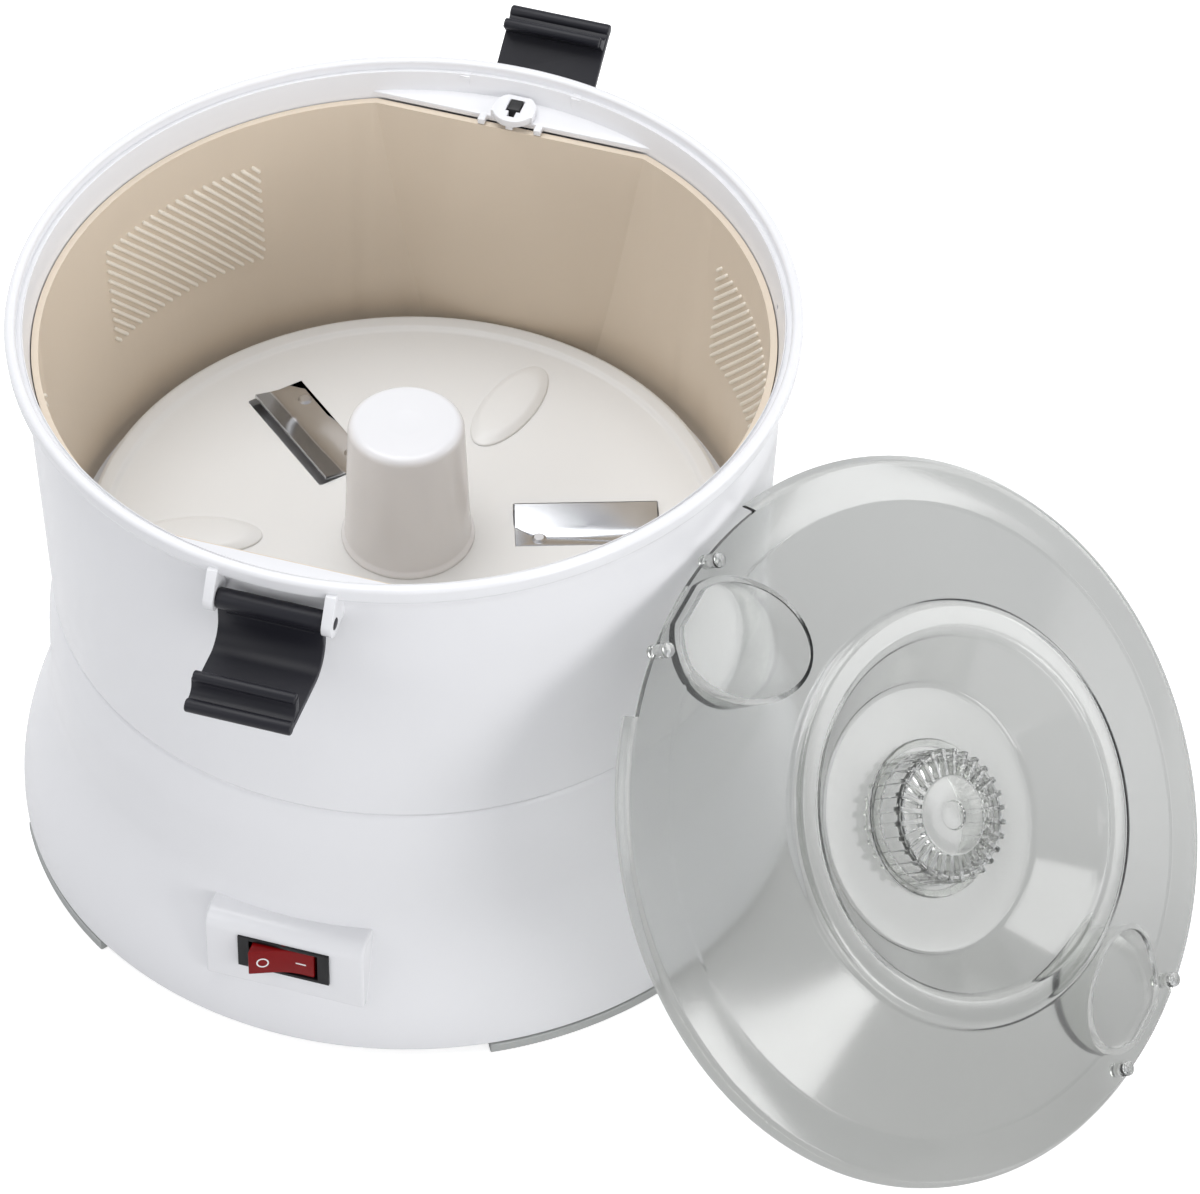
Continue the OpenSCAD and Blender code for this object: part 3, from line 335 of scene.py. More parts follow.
def drawOutline(name, points, closed=True):
    # a plane shrunk to one vertex, then drawn out point by point in the XZ plane
    bpy.ops.object.select_all(action="DESELECT")
    bpy.ops.mesh.primitive_plane_add(size=0.002, location=(0, 0, 0))
    piece = bpy.context.object
    piece.name = piece.data.name = name
    bpy.ops.object.mode_set(mode="EDIT")
    bpy.ops.mesh.select_all(action="SELECT")
    bpy.ops.mesh.merge(type="CENTER")
    bpy.ops.transform.translate(value=(points[0][0] * mm, 0, points[0][1] * mm))
    path = list(points) + ([points[0]] if closed else [])
    for (x0, z0), (x1, z1) in zip(path, path[1:]):
        bpy.ops.mesh.extrude_region_move(
            TRANSFORM_OT_translate={"value": ((x1 - x0) * mm, 0, (z1 - z0) * mm)})
    bpy.ops.mesh.select_all(action="SELECT")
    bpy.ops.mesh.remove_doubles(threshold=tiny)
    return piece


def lathe(name, points, steps=192, closed=True, arc=360):
    piece = drawOutline(name, points, closed)
    bpy.ops.mesh.select_all(action="SELECT")
    bpy.ops.mesh.spin(steps=steps, angle=-math.radians(arc), center=(0, 0, 0), axis=(0, 0, 1))
    bpy.ops.mesh.select_all(action="SELECT")
    bpy.ops.mesh.remove_doubles(threshold=tiny)
    bpy.ops.mesh.normals_make_consistent(inside=False)
    bpy.ops.object.mode_set(mode="OBJECT")
    return piece


def closedWedge(name, points, steps, arc):
    # an outline swept through part of a turn, with its two ends filled
    piece = lathe(name, points, steps, arc=arc)
    onlySelect(piece)
    bpy.ops.object.mode_set(mode="EDIT")
    bpy.ops.mesh.select_all(action="SELECT")
    bpy.ops.mesh.fill_holes(sides=0)
    bpy.ops.mesh.normals_make_consistent(inside=False)
    bpy.ops.object.mode_set(mode="OBJECT")
    return piece


def slab(name, points, start, depth, edge=0, segments=3):
    # an outline in XZ given depth along Y, with its rims rounded
    piece = drawOutline(name, points)
    bpy.ops.mesh.edge_face_add()
    bpy.ops.transform.translate(value=(0, start * mm, 0))
    bpy.ops.mesh.extrude_region_move(TRANSFORM_OT_translate={"value": (0, depth * mm, 0)})
    bpy.ops.mesh.select_all(action="SELECT")
    bpy.ops.mesh.normals_make_consistent(inside=False)
    bpy.ops.object.mode_set(mode="OBJECT")
    if edge:
        soften(piece, edge, segments)
    return piece


def soften(piece, width, segments=3, angle=40):
    onlySelect(piece)
    edge = piece.modifiers.new("edge", "BEVEL")
    edge.width = width * mm
    edge.segments = segments
    edge.limit_method = "ANGLE"
    edge.angle_limit = math.radians(angle)
    bpy.ops.object.modifier_apply(modifier="edge")


def turned(piece, turn=(0, 0, 0), move=(0, 0, 0)):
    onlySelect(piece)
    piece.rotation_euler = [math.radians(angle) for angle in turn]
    piece.location = [part * mm for part in move]
    bpy.ops.object.transform_apply(location=True, rotation=True, scale=True)
    return piece


def block(name, low, high, edge=0):
    bpy.ops.object.select_all(action="DESELECT")
    middle = [(a + b) / 2 * mm for a, b in zip(low, high)]
    bpy.ops.mesh.primitive_cube_add(size=1, location=middle)
    piece = bpy.context.object
    piece.name = piece.data.name = name
    bpy.ops.transform.resize(value=[(b - a) * mm for a, b in zip(low, high)])
    bpy.ops.object.transform_apply(location=True, rotation=True, scale=True)
    if edge:
        soften(piece, edge)
    return piece


def rod(name, radius, start, end, sides=48, edge=0):
    # a round bar between two points
    bpy.ops.object.select_all(action="DESELECT")
    first, last = Vector(start) * mm, Vector(end) * mm
    bpy.ops.mesh.primitive_cylinder_add(vertices=sides, radius=radius * mm,
                                        depth=(last - first).length)
    piece = bpy.context.object
    piece.name = piece.data.name = name
    piece.rotation_euler = (last - first).to_track_quat("Z", "Y").to_euler()
    piece.location = (first + last) / 2
    bpy.ops.object.transform_apply(location=True, rotation=True, scale=True)
    if edge:
        soften(piece, edge)
    return piece


def combine(piece, other, operation="UNION"):
    onlySelect(piece)
    step = piece.modifiers.new("step", "BOOLEAN")
    step.operation = operation
    step.object = other
    step.solver = "EXACT"
    bpy.ops.object.modifier_apply(modifier="step")
    bpy.data.objects.remove(other, do_unlink=True)
    return piece


def joined(pieces, name):
    bpy.ops.object.select_all(action="DESELECT")
    for piece in pieces:
        piece.select_set(True)
    bpy.context.view_layer.objects.active = pieces[0]
    bpy.ops.object.join()
    pieces[0].name = pieces[0].data.name = name
    return pieces[0]


def copyOf(piece, name, turn=(0, 0, 0), move=(0, 0, 0)):
    other = piece.copy()
    other.data = piece.data.copy()
    other.name = other.data.name = name
    bpy.context.scene.collection.objects.link(other)
    return turned(other, turn, move)


def refined(nodeName, width, segments=2, angle=32, flat=0.6):
    # a merged copy of a CAD node with its edges rounded
    bpy.ops.object.select_all(action="DESELECT")
    piece = frame["nodes"][nodeName].copy()
    piece.data = piece.data.copy()
    piece.parent = None
    piece.name = piece.data.name = nodeName + "_soft"
    bpy.context.scene.collection.objects.link(piece)
    piece.hide_render = piece.hide_viewport = False
    onlySelect(piece)
    bpy.ops.object.mode_set(mode="EDIT")
    bpy.ops.mesh.select_all(action="SELECT")
    bpy.ops.mesh.remove_doubles(threshold=tiny)
    bpy.ops.mesh.dissolve_limited(angle_limit=math.radians(flat))
    bpy.ops.object.mode_set(mode="OBJECT")
    soften(piece, width, segments, angle)
    return piece


def handOver(piece, body, slot, nodes=(), smooth=30, finish=None):
    # shades a finished piece, gives it its finish, and lets it ride on its body
    onlySelect(piece)
    bpy.ops.object.shade_smooth_by_angle(angle=math.radians(smooth))
    piece.data.materials.clear()
    piece.data.materials.append(finish or finishes[slot])
    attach(piece, body)
    if nodes:
        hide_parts(*nodes)


def lugOutline():
    # the ear's side view: a round end about the pin, and a sloped edge up to the lip
    ear = {"in": 117.0, "below": -3.0, "neck": 122.3, "radius": 4.4, "from": 223, "to": 382,
           "shoulder": 124.9, "above": 9.8}
    pinZ = latchPin["level"]
    return ([(ear["in"], pinZ + ear["below"]), (ear["neck"], pinZ + ear["below"])]
            + arcPoints(latchPin["out"], pinZ, ear["radius"], ear["from"], ear["to"], 14)
            + [(ear["shoulder"], pinZ + ear["above"]), (ear["in"], pinZ + ear["above"])])


def makeTub():
    tub = {"lugGap": 34.6, "lugWide": 3.2, "lugEdge": 0.55, "pinRoom": 0.05, "ledge": 118.6,
           "shelf": ((107.8, -55, 194.8), (124, 55, 197.0)), "shelfEdge": 0.4,
           "pegs": (-9.5, 0, 9.5), "pegHalf": 1.2, "pegEdge": 0.35,
           "keyway": ((109.2, -2.4, 193), (115.0, 2.4, 199)), "ventAz": 4.4, "ventRadius": 0.9}
    wall = rounded([
        (6.5, 97.9), (105.1, 97.9), (105.1, 95.5), (108.1, 95.5), (108.1, 97.9),
        (114.9, 97.9, 1.6), (119.4, 193.4, 9), (120.6, 197.8, 5), (124.5, 200.2, 2.4),
        (125.0, 206.0, 1.9), (121.5, 206.0, 1.1), (121.2, 202.7, 0.5), (119.6, 202.7, 0.5),
        (119.3, 204.1, 0.35), (118.4, 200.2, 4), (117.3, 195.0, 1.2), (113.0, 100.5, 1.5),
        (10.0, 100.5), (10.0, 107.7), (6.5, 107.7)])
    piece = lathe("tub", wall, 224)
    for az in (frontAz, rearAz):
        shelf = block("shelf", *tub["shelf"], tub["shelfEdge"])
        combine(shelf, rod("ledge", tub["ledge"], (0, 0, 190), (0, 0, 200), 180), "INTERSECT")
        combine(piece, turned(shelf, (0, 0, az)))
        for side in (-1, 1):
            middle = side * (tub["lugGap"] + tub["lugWide"]) / 2
            lug = slab("lug", lugOutline(), middle - tub["lugWide"] / 2, tub["lugWide"],
                       tub["lugEdge"])
            combine(piece, turned(lug, (0, 0, az)))
        pin = rod("pinHole", latchPin["radius"] + tub["pinRoom"],
                  (latchPin["out"], -30, latchPin["level"]),
                  (latchPin["out"], 30, latchPin["level"]))
        combine(piece, turned(pin, (0, 0, az)), "DIFFERENCE")
    for y in tub["pegs"]:
        peg = block("peg", (105.1, y - tub["pegHalf"], 194.8),
                    (108.4, y + tub["pegHalf"], 197.0), tub["pegEdge"])
        combine(piece, turned(peg, (0, 0, rearAz)))
    keyway = block("keyway", *tub["keyway"])
    combine(piece, turned(keyway, (0, 0, rearAz)), "DIFFERENCE")
    vent = rod("vent", tub["ventRadius"], (117.0, 0, 197.6), (122.0, 0, 194.6), 24)
    combine(piece, turned(vent, (0, 0, tub["ventAz"])), "DIFFERENCE")
    turned(piece, move=atAxis)
    handOver(piece, "housing", "white_gloss", ["tub"], 28)
    print("tub made")


skirt = {"low": 8.0, "rise": 51.6, "neck": 117.3, "spread": 11.2, "steps": 24, "wall": 2.5}


def skirtRadius(z):
    part = max(0, min(1, (z - skirt["low"]) / skirt["rise"]))
    return skirt["neck"] + skirt["spread"] * (1 - part * part * (3 - 2 * part))


def makeBase():
    plate = {"face": 125.92, "wide": 53.0, "high": 29.0, "drop": 2.5, "level": 38.0,
             "openWide": 30.5, "openHigh": 13.06, "edge": 0.9}
    gland = {"az": 140, "level": 22, "radius": 10, "out": 127.6, "hole": 6.03}
    levels = [skirt["low"] + k * skirt["rise"] / skirt["steps"]
              for k in range(skirt["steps"] + 1)]
    flare = [(skirtRadius(z), z) for z in levels]
    outer = [(128.5, 4.4, 0.9)] + flare + [(116.7, 83.0, 60), (114.5, 96.0, 8),
                                           (113.6, 97.5, 1.0), (111.1, 97.5, 0.3)]
    inner = [(111.1, 95.5), (0, 95.5), (0, 93.0), (112.0, 93.0), (114.2, 83.0)]
    inner += [(r - skirt["wall"], z) for r, z in reversed(flare)] + [(126.0, 4.4, 0.4)]
    piece = lathe("base_shell", rounded(outer + inner), 224)
    halfWide, level = plate["wide"] / 2, plate["level"]
    low, high = level - plate["high"] / 2, level + plate["high"] / 2 - plate["drop"]
    face = slab("switchPlate", rounded([(105, low), (plate["face"], low, 1.0),
                                        (plate["face"], high, 5.5), (105, high)]),
                -halfWide, 2 * halfWide, plate["edge"], 4)
    combine(piece, turned(face, (0, 0, frontAz)))
    boss = rod("glandBoss", gland["radius"], (110, 0, gland["level"]),
               (gland["out"], 0, gland["level"]), 64, 0.8)
    combine(piece, turned(boss, (0, 0, gland["az"])))
    opening = block("opening", (100, -plate["openWide"] / 2, level - plate["openHigh"] / 2),
                    (130, plate["openWide"] / 2, level + plate["openHigh"] / 2))
    combine(piece, turned(opening, (0, 0, frontAz)), "DIFFERENCE")
    hole = rod("glandHole", gland["hole"], (90, 0, gland["level"]), (140, 0, gland["level"]))
    combine(piece, turned(hole, (0, 0, gland["az"])), "DIFFERENCE")
    combine(piece, rod("spindleHole", 6.5, (0, 0, 90), (0, 0, 100)), "DIFFERENCE")
    turned(piece, move=atAxis)
    handOver(piece, "housing", "white_gloss", ["base_shell"], 28)
    print("base made")


def makeSwitch():
    rocker = {"pivot": 125.32, "level": 38.0, "high": 10.2, "half": 10.2, "proud": 5.9,
              "pivotRadius": 1.0, "pivotHalf": 6.4, "edge": 0.45}
    marks = {"ringIn": 1.55, "ringOut": 2.0, "tilt": 22.9, "ringPlace": (4.12, -5.9, 0),
             "barTilt": -0.3, "barPlace": (0.94, 5.8, 0)}
    front = rounded([(0.9, -rocker["half"]), (0.95, -1.5, 26), (rocker["proud"], rocker["half"])],
                    closed=False, fine=2)
    side = front + [(-2.5, rocker["half"]), (-5, 3), (-5, -3), (-2.5, -rocker["half"])]
    piece = slab("rocker", side, -rocker["high"] / 2, rocker["high"], rocker["edge"], 4)
    turned(piece, (90, 0, 0))
    combine(piece, rod("pivot", rocker["pivotRadius"], (0, 0, -rocker["pivotHalf"]),
                       (0, 0, rocker["pivotHalf"]), 32))
    turned(piece, move=(rocker["pivot"], 0, rocker["level"]))
    turned(piece, (0, 0, frontAz), atAxis)
    handOver(piece, "switch_rocker", "rocker_red", ["rocker"], 26)

    # the O and the I, laid on the sloping halves of the rocker's face
    ring = lathe("switchOff", [(marks["ringIn"], -0.2), (marks["ringOut"], -0.2),
                               (marks["ringOut"], 0.07), (marks["ringIn"], 0.07)], 40)
    turned(turned(ring, (0, 90, 0)), (0, 0, marks["tilt"]), marks["ringPlace"])
    bar = block("switchOn", (-0.2, -1.7, -0.24), (0.09, 1.7, 0.24))
    turned(bar, (0, 0, marks["barTilt"]), marks["barPlace"])
    for mark in (ring, bar):
        turned(mark, move=(rocker["pivot"], 0, rocker["level"]))
        turned(mark, (0, 0, frontAz), atAxis)
        handOver(mark, "switch_rocker", "white_gloss", finish=finishes["mark"])
    surround = refined("switch_frame", 0.35, 3)
    handOver(surround, "housing", "switch_black", ["switch_frame"])
    print("switch made")


def latchBody(name):
    # side view with the pin at the origin: a panel, its bend, and the grip with its two bars
    latch = {"wide": 34.0, "thick": 2.5, "bend": 9.0, "drop": 17.0, "out": 30.5,
             "pinHalf": 20.7, "tipBar": 2.2, "hookBar": 1.8, "hookBack": 6.0, "hookUp": 7.0,
             "hingeLine": 0.35}
    half, drop, bend, out = latch["thick"] / 2, latch["drop"], latch["bend"], latch["out"]
    outside = arcPoints(bend, bend - drop, bend + half, 180, 270, 14)
    inside = arcPoints(bend, bend - drop, bend - half, 270, 180, 14)
    panel = [(-half, 0.5)] + outside + [(out, -drop - half), (out, -drop + half)] + inside \
        + [(half, 0.5)]
    wide = latch["wide"]
    piece = slab(name, panel, -wide / 2, wide, 0.45)
    barrel = rod("barrel", latchPin["radius"] + 1.35, (0, -wide / 2, 0), (0, wide / 2, 0),
                 48, 0.6)
    tipBar = rod("tipBar", latch["tipBar"], (out, -wide / 2, 0.3 - drop),
                 (out, wide / 2, 0.3 - drop), 40, 0.7)
    back, up = out - latch["hookBack"], latch["hookUp"] - drop
    hookBar = rod("hookBar", latch["hookBar"], (back, -wide / 2 + 0.6, up),
                  (back, wide / 2 - 0.6, up), 40, 0.6)
    web = rounded([(back - 1.3, -drop), (back - 1.3, up), (back + 1.3, up),
                   (back + 1.7, 2.6 - drop, 3.0), (out, 1.2 - drop), (out, -drop)])
    hook = slab("hook", web, -wide / 2 + 0.3, wide - 0.6, 0.25)
    pin = rod("pin", latchPin["radius"], (0, -latch["pinHalf"], 0), (0, latch["pinHalf"], 0),
              40, 0.35)
    hingeLine = rod("hingeLine", latch["hingeLine"], (half, -wide / 2 + 3, -4.6),
                    (half, wide / 2 - 3, -4.6), 12)
    for other in (barrel, tipBar, hook, hookBar, pin, hingeLine):
        combine(piece, other)
    return piece


def makeLatches():
    rearLift = -35  # the rear latch stands out, and the front one hangs
    front = latchBody("latch_front")
    rear = copyOf(front, "latch_rear", (0, rearLift, 0))
    for piece, az, body, node in ((front, frontAz, "front_latch", "latch_front"),
                                  (rear, rearAz, "rear_latch", "latch_rear")):
        turned(piece, move=(latchPin["out"], 0, latchPin["level"]))
        turned(piece, (0, 0, az), atAxis)
        handOver(piece, body, "latch_black", [node], 28)
    print("latches made")


liner = {"low": 100.5, "high": 194.5, "lowR": 111.4, "highR": 116.89, "flat": 107.5,
         "wall": 2.2, "edge": 0.6}


def linerInside(z):
    part = (z - liner["low"]) / (liner["high"] - liner["low"])
    return liner["lowR"] - liner["wall"] + (liner["highR"] - liner["lowR"]) * part


def makeLiner():
    solids = []
    slope = (liner["highR"] - liner["lowR"]) / (liner["high"] - liner["low"])
    for name, drawIn, extra in (("liner", 0, 0), ("hollow", liner["wall"], 1)):
        solid = lathe(name, [(0, liner["low"] - extra),
                             (liner["lowR"] - drawIn - slope * extra, liner["low"] - extra),
                             (liner["highR"] - drawIn + slope * extra, liner["high"] + extra),
                             (0, liner["high"] + extra)], 224, closed=False)
        flat = liner["flat"] - drawIn
        flats = block("flats", (-flat, -140, 90), (flat, 140, 210))
        combine(solid, turned(flats, (0, 0, frontAz)), "INTERSECT")
        solids.append(solid)
    piece = combine(solids[0], solids[1], "DIFFERENCE")
    soften(piece, liner["edge"], 3, 60)
    turned(piece, move=atAxis)
    handOver(piece, "housing", "liner_beige", ["liner"], 14)
    print("liner made")


def ribEnds(centre, along, halfSpan, halfHigh):
    # how far a slanting rib through a point runs before it leaves its field, each way
    low, high = -1e9, 1e9
    for start, step, limit in zip(centre, along, (halfSpan, halfHigh)):
        ends = sorted(((-limit - start) / step, (limit - start) / step))
        low, high = max(low, ends[0]), min(high, ends[1])
    return low, high


def makeRibs():
    # four fields of slanting beads inside the liner, two on each side
    ribs = {"wide": 1.4, "high": 0.95, "pitch": 2.7, "slant": 48, "low": 138.5, "top": 178.5,
            "halfArc": 17.0, "end": 0.7, "shortest": 1.5, "reach": 47,
            "fields": ((60, 1), (-60, -1), (127, 1), (-127, -1))}
    rings, capRings = 16, 4  # of one bead, and of each of its round ends
    bpy.ops.object.select_all(action="DESELECT")
    bpy.ops.mesh.primitive_uv_sphere_add(segments=10, ring_count=rings, radius=1)
    bead = bpy.context.object
    turned(bead, (0, 90, 0))
    middle = (ribs["low"] + ribs["top"]) / 2
    radius = linerInside(middle)
    halfSpan = math.radians(ribs["halfArc"]) * radius
    halfHigh = (ribs["top"] - ribs["low"]) / 2
    slant, end = math.radians(ribs["slant"]), ribs["end"]
    count = int(ribs["reach"] / ribs["pitch"])
    beads = []
    for offset, way in ribs["fields"]:
        along = (math.cos(slant), way * math.sin(slant))
        across = (-way * math.sin(slant), math.cos(slant))
        for number in range(-count, count + 1):
            centre = [part * number * ribs["pitch"] for part in across]
            low, high = ribEnds(centre, along, halfSpan - end, halfHigh - end)
            if high - low < ribs["shortest"]:
                continue
            rib = copyOf(bead, "rib")
            for vertex in rib.data.vertices:
                ring = round(math.acos(max(-1, min(1, vertex.co.x))) / math.pi * rings)
                cap = min(ring, rings - ring)
                if cap < capRings:
                    bend = cap / capRings * math.pi / 2
                    swell, shift = math.sin(bend), (1 - math.cos(bend)) * end
                    place = high - shift if ring < rings / 2 else low + shift
                else:
                    swell = 1
                    share = (ring - capRings) / (rings - 2 * capRings)
                    place = high - end + share * (low - high + 2 * end)
                around = Vector((vertex.co.y, vertex.co.z))
                around = around.normalized() if around.length > 1e-6 else Vector((0, 0))
                side = around.x * ribs["wide"] / 2 * swell
                u = centre[0] + along[0] * place + across[0] * side
                z = middle + centre[1] + along[1] * place + across[1] * side
                r = linerInside(z) - around.y * ribs["high"] * swell
                bearing = math.radians(rearAz + offset) + u / radius
                vertex.co = (r * math.cos(bearing) * mm, r * math.sin(bearing) * mm, z * mm)
            beads.append(rib)
    bpy.data.objects.remove(bead, do_unlink=True)
    piece = joined(beads, "liner_ribs")
    onlySelect(piece)
    bpy.ops.object.mode_set(mode="EDIT")
    bpy.ops.mesh.select_all(action="SELECT")
    bpy.ops.mesh.normals_make_consistent(inside=False)
    bpy.ops.object.mode_set(mode="OBJECT")
    turned(piece, move=atAxis)
    # the ribs take the lighter beige, a painted highlight standing in for light caught on them
    handOver(piece, "housing", "liner_beige", smooth=60, finish=finishes["rib"])
    print("ribs made:", len(beads))


def makeDisc():
    disc = {"blades": 3, "slot": ((34, 2, 100), (81, 13, 113)), "slotEdge": 0.8,
            "bed": ((34.3, -7.1, 109.05), (80.7, 3, 114)), "swellAt": 68,
            "swellStretch": (1.9, 0.8, 1)}
    plate = rounded([(7.2, 121.1), (14.5, 121.1, 0.6), (14.5, 110.1, 1.5), (96.5, 110.1, 2),
                     (98.2, 111.3, 1.5), (102.2, 111.3, 1.0), (103.7, 110.4, 1.0),
                     (103.7, 104.1, 0.5), (101.3, 104.1, 0.3), (101.3, 107.1, 0.6),
                     (14.5, 107.1, 0.6), (14.5, 102.1), (10.9, 102.1), (10.9, 107.9),
                     (7.2, 107.9)])
    piece = lathe("peeling_disc", plate, 192)
    apart = 360 / disc["blades"]
    for number in range(disc["blades"]):
        az = number * apart
        slot = block("slot", *disc["slot"], disc["slotEdge"])
        combine(piece, turned(slot, (0, 0, az)), "DIFFERENCE")
        bed = block("bed", *disc["bed"])
        combine(piece, turned(bed, (0, 0, az)), "DIFFERENCE")
        swell = lathe("swell", rounded([(0, 109.6), (13.0, 109.6, 5), (8.5, 112.4, 4),
                                        (0, 112.9)], closed=False), 48, closed=False)
        swell.scale = disc["swellStretch"]
        turned(swell, move=(disc["swellAt"], 0, 0))
        combine(piece, turned(swell, (0, 0, az + apart / 2)))
    turned(piece, move=atAxis)
    handOver(piece, "disc", "disc_white", ["peeling_disc"], 28)
    for node in ("blade_1", "blade_2", "blade_3"):
        handOver(refined(node, 0.18, 2, 30), "disc", "blade_steel", [node])
    column = lathe("centre_column", rounded([
        (0, 110.1), (21.6, 110.1, 0.4), (21.4, 111.2, 0.8), (20.4, 112.4, 1.4),
        (18.5, 158.7, 3.0), (6.0, 158.7, 8), (0, 158.3)], closed=False), 128, closed=False)
    turned(column, move=atAxis)
    handOver(column, "disc", "white_gloss", ["centre_column"], 30)
    print("disc made")


def makeInterlock():
    boss = refined("interlock_boss", 0.4, 3)
    handOver(boss, "housing", "white_gloss", ["interlock_boss"])
    plunger = refined("interlock_plunger", 0.4, 3)
    handOver(plunger, "plunger", "plunger_black", ["interlock_plunger"])
    print("interlock made")


def makeSpring():
    # the plunger's return spring, a coil
    spring = {"wire": 0.6, "turns": 5, "travel": 3.0, "sides": 10, "steps": 28}
    low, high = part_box("interlock_spring")
    wide, tall = (high[0] - low[0]) / 2 / mm, (high[2] - low[2]) / mm
    bpy.ops.object.select_all(action="DESELECT")
    bpy.ops.mesh.primitive_circle_add(vertices=spring["sides"],
                                      radius=spring["wire"] / 2 * mm)
    coil = bpy.context.object
    coil.name = coil.data.name = "spring_coil"
    turned(coil, (90, 0, 0), (wide - spring["wire"] / 2, 0, spring["wire"] / 2))
    wind = coil.modifiers.new("wind", "SCREW")
    wind.screw_offset = (tall - spring["wire"]) / spring["turns"] * mm
    wind.iterations = spring["turns"]
    wind.steps = wind.render_steps = spring["steps"]
    bpy.ops.object.modifier_apply(modifier="wind")
    bpy.ops.object.mode_set(mode="EDIT")
    bpy.ops.mesh.select_all(action="SELECT")
    bpy.ops.mesh.fill_holes(sides=0)
    bpy.ops.mesh.normals_make_consistent(inside=False)
    bpy.ops.object.mode_set(mode="OBJECT")
    turned(coil, move=[(low[0] + high[0]) / 2 / mm, (low[1] + high[1]) / 2 / mm, low[2] / mm])
    handOver(coil, "housing", "spring_steel", ["interlock_spring"], 60)
    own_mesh(coil)
    print("spring made")


def makeUnderside():
    foot = {"inner": 115.6, "outer": 128.7, "high": 4.0, "arc": 27, "stud": 119,
            "bearings": {"foot_front_left": -156, "foot_front_right": -66,
                         "foot_rear_right": 24, "foot_rear_left": 114}}
    screw = {"circle": 104.8, "head": 3.2, "shank": 1.8, "slotTurn": 20}
    shape = rounded([(foot["inner"], 0, 0.8), (foot["outer"], 0, 1.1),
                     (foot["outer"], foot["high"], 0.5), (foot["inner"], foot["high"], 0.3)])
    for name, az in foot["bearings"].items():
        piece = closedWedge(name, shape, 24, foot["arc"])
        turned(piece, (0, 0, -foot["arc"] / 2))
        soften(piece, 0.5, 3, 50)
        stud = rod("stud", 2.5, (foot["stud"], 0, 3), (foot["stud"], 0, 7.6), 32)
        cap = rod("cap", 3.4, (foot["stud"], 0, 6.6), (foot["stud"], 0, 8.2), 32, 0.3)
        combine(combine(piece, stud), cap)
        turned(piece, (0, 0, az), atAxis)
        handOver(piece, "housing", "foot_grey", [name])
    cover = refined("bottom_cover", 0.3, 2)
    handOver(cover, "housing", "cover_grey", ["bottom_cover"])
    gland = refined("cord_gland", 0.35, 3)
    handOver(gland, "housing", "gland_grey", ["cord_gland"])
    heads = []
    for az in foot["bearings"].values():
        outline = rounded([(0, 2.2), (screw["head"], 2.2, 0.9), (screw["head"], 4.0),
                           (screw["shank"], 4.0), (screw["shank"], 18.0), (0, 18.0)],
                          closed=False)
        head = lathe("head", outline, 32, closed=False)
        for turn in (0, 90):
            cut = block("cut", (-1.9, -0.35, 1.5), (1.9, 0.35, 3.0))
            combine(head, turned(cut, (0, 0, turn + screw["slotTurn"])), "DIFFERENCE")
        turned(head, move=(screw["circle"], 0, 0))
        heads.append(turned(head, (0, 0, az), atAxis))
    screws = joined(heads, "bottom_screws")
    handOver(screws, "housing", "screw_steel", ["bottom_screws"])
    print("underside made")


# The lid is made in its own frame, with its edge in z = 0 and its outside facing +Z.
lidTop = [(22.4, 10.0, 0.6), (42.3, 10.0, 3.0), (56.1, 26.6, 3.5), (57.8, 29.2, 2.4),
          (65.2, 29.2, 2.4), (66.9, 26.6, 3.5), (100.0, 9.1, 1.2), (103.0, 8.5, 1.2),
          (112.9, 6.2, 1.8), (115.0, 2.4, 0.9)]
lidPlace = {"turn": (0, 50.2, -42.8), "fromAxis": (155.629, -111.42, 88.3726)}


def pocketSolid(name, grow, low, high):
    # the half-round well that a latch hooks into, cut off square towards the edge
    pocket = {"radius": 18.6, "at": 90.325, "end": 107.5}
    radius, end = pocket["radius"] + grow, pocket["end"] + grow
    corner = math.degrees(math.acos((end - pocket["at"]) / radius))
    sides = arcPoints(pocket["at"], 0, radius, corner, 360 - corner, 56)
    piece = slab(name, sides, low, high - low)
    return turned(piece, (90, 0, 0))


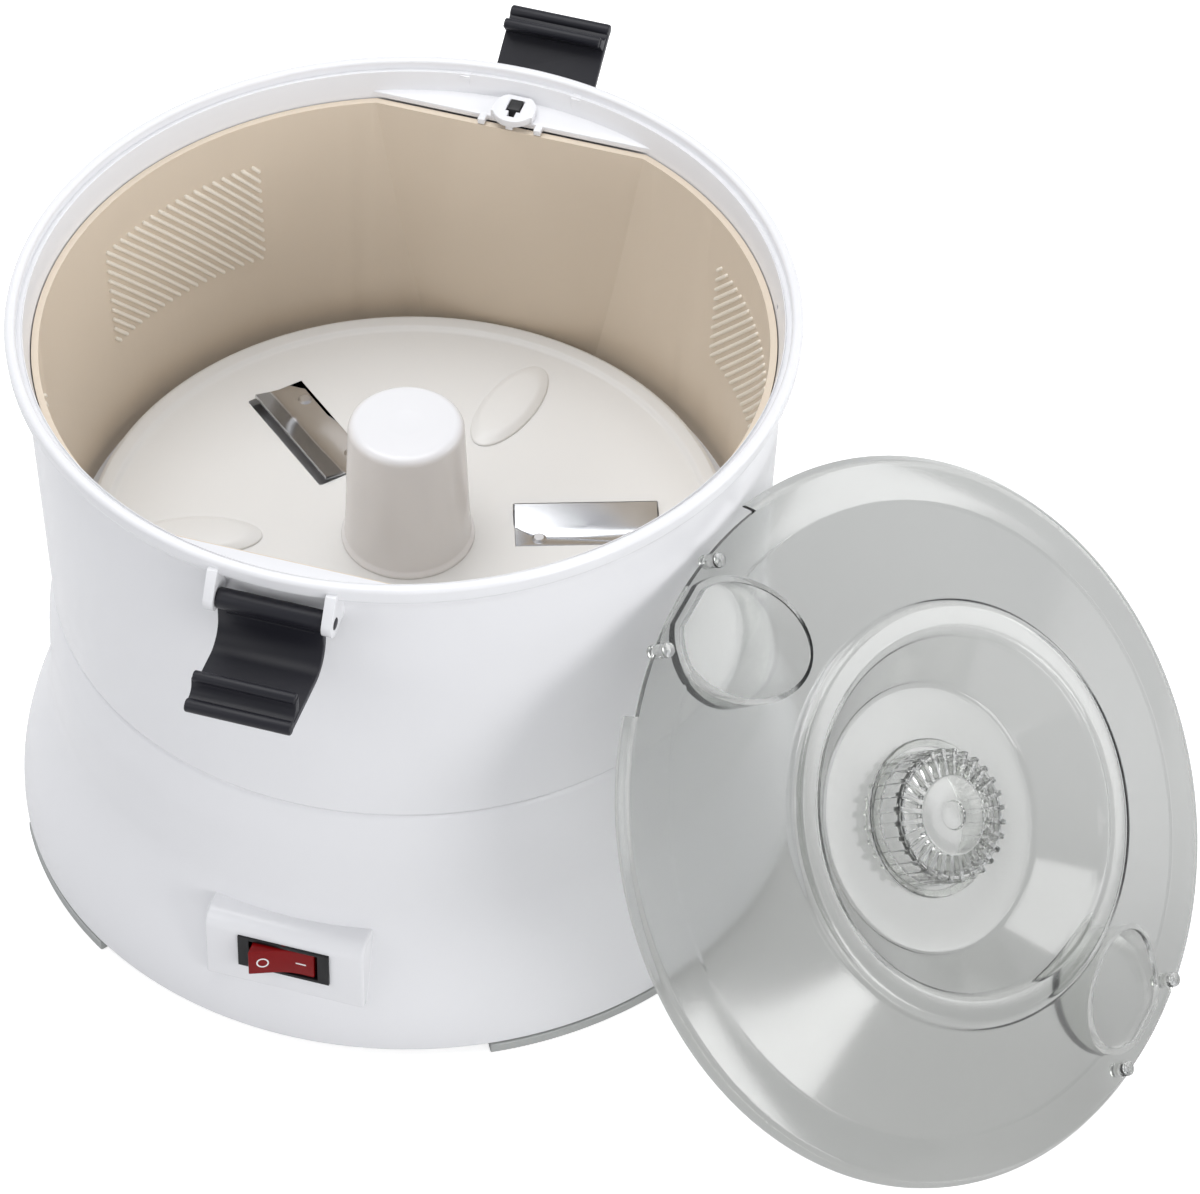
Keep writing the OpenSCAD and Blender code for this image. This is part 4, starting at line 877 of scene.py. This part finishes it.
def makeLid():
    lid = {"wall": 2.4, "pocketBearings": (20, 200), "pocketWall": 2.0, "pocketFloor": 2.4,
           "skirtDrop": 0.8, "knuckle": 2.4, "knuckleAt": 108.9, "knuckleSide": 17.6,
           "trims": ((200, 21), (20, 9.5)), "fins": 28}
    under = [(r, z - lid["wall"], *rest) for r, z, *rest in reversed(lidTop)]
    piece = lathe("lid_shell", rounded(lidTop + under, fine=7), 256)
    lowered = [(r, z - lid["skirtDrop"], *rest) for r, z, *rest in reversed(lidTop)]
    limit = rounded([(0, 0), (lidTop[-1][0], 0)] + lowered + [(0, lowered[-1][1])],
                    closed=False, fine=7)
    for az in lid["pocketBearings"]:
        # the pocket's wall, kept under the lid's top, and then the room inside it
        wall = pocketSolid("wall", lid["pocketWall"], 2.0, 45)
        combine(wall, lathe("limit", limit, 256, closed=False), "INTERSECT")
        combine(piece, turned(wall, (0, 0, az)))
        room = pocketSolid("room", 0, 2.0 + lid["pocketFloor"], 45)
        combine(piece, turned(room, (0, 0, az)), "DIFFERENCE")
        for side in (-lid["knuckleSide"], lid["knuckleSide"]):
            knuckle = rod("knuckle", lid["knuckle"], (lid["knuckleAt"], side, 0.3),
                          (lid["knuckleAt"], side, 9.0), 32, 0.5)
            combine(piece, turned(knuckle, (0, 0, az)))
    for az, half in lid["trims"]:
        trim = closedWedge("trim", [(112.5, -1), (125, -1), (125, 7), (112.5, 7)], 48, 2 * half)
        combine(piece, turned(trim, (0, 0, az - half)), "DIFFERENCE")
    hub = lathe("lid_hub", rounded([
        (0, 16.4), (17.6, 16.4, 0.8), (18.05, 1.0, 0.5), (20.05, 1.0, 0.5), (20.4, 10.0),
        (25.0, 10.0, 0.3), (25.0, 11.5, 0.7), (20.6, 11.5, 0.8), (20.05, 21.0, 0.6),
        (18.65, 21.0, 0.4), (18.65, 18.6, 0.5), (12.5, 18.6, 0.5), (12.9, 22.0, 1.0),
        (4.6, 22.0, 0.5), (4.4, 21.3, 0.4), (0, 21.3)], closed=False, fine=8), 168, closed=False)
    fin = block("fin", (11.9, -0.8, 17.5), (21.05, 0.8, 21.6), 0.3)
    stem = block("stem", (19.0, -0.75, 1.2), (21.0, 0.75, 21.2), 0.3)
    combine(fin, stem)
    others = [copyOf(fin, "fin", (0, 0, number * 360 / lid["fins"]))
              for number in range(1, lid["fins"])]
    combine(hub, joined([fin] + others, "fins"))
    for item, node in ((piece, "lid_shell"), (hub, "lid_hub")):
        place = [a + b for a, b in zip(atAxis, lidPlace["fromAxis"])]
        turned(item, lidPlace["turn"], place)
        handOver(item, "lid", "lid_clear", [node], 24)
    print("lid made")


makeCamera()
makeLights()
makeWorld()
makeFloor()
finishes = makeFinishes()
for part in frame["record"]["subparts"]:
    node = frame["nodes"][part["node"]]
    for slotIndex in range(len(node.material_slots)):
        node.material_slots[slotIndex].material = finishes[part["material_slot"]]
print("finishes set")

for build in (makeTub, makeBase, makeSwitch, makeLatches, makeLiner, makeRibs, makeDisc,
              makeInterlock, makeSpring, makeUnderside, makeLid):
    build()
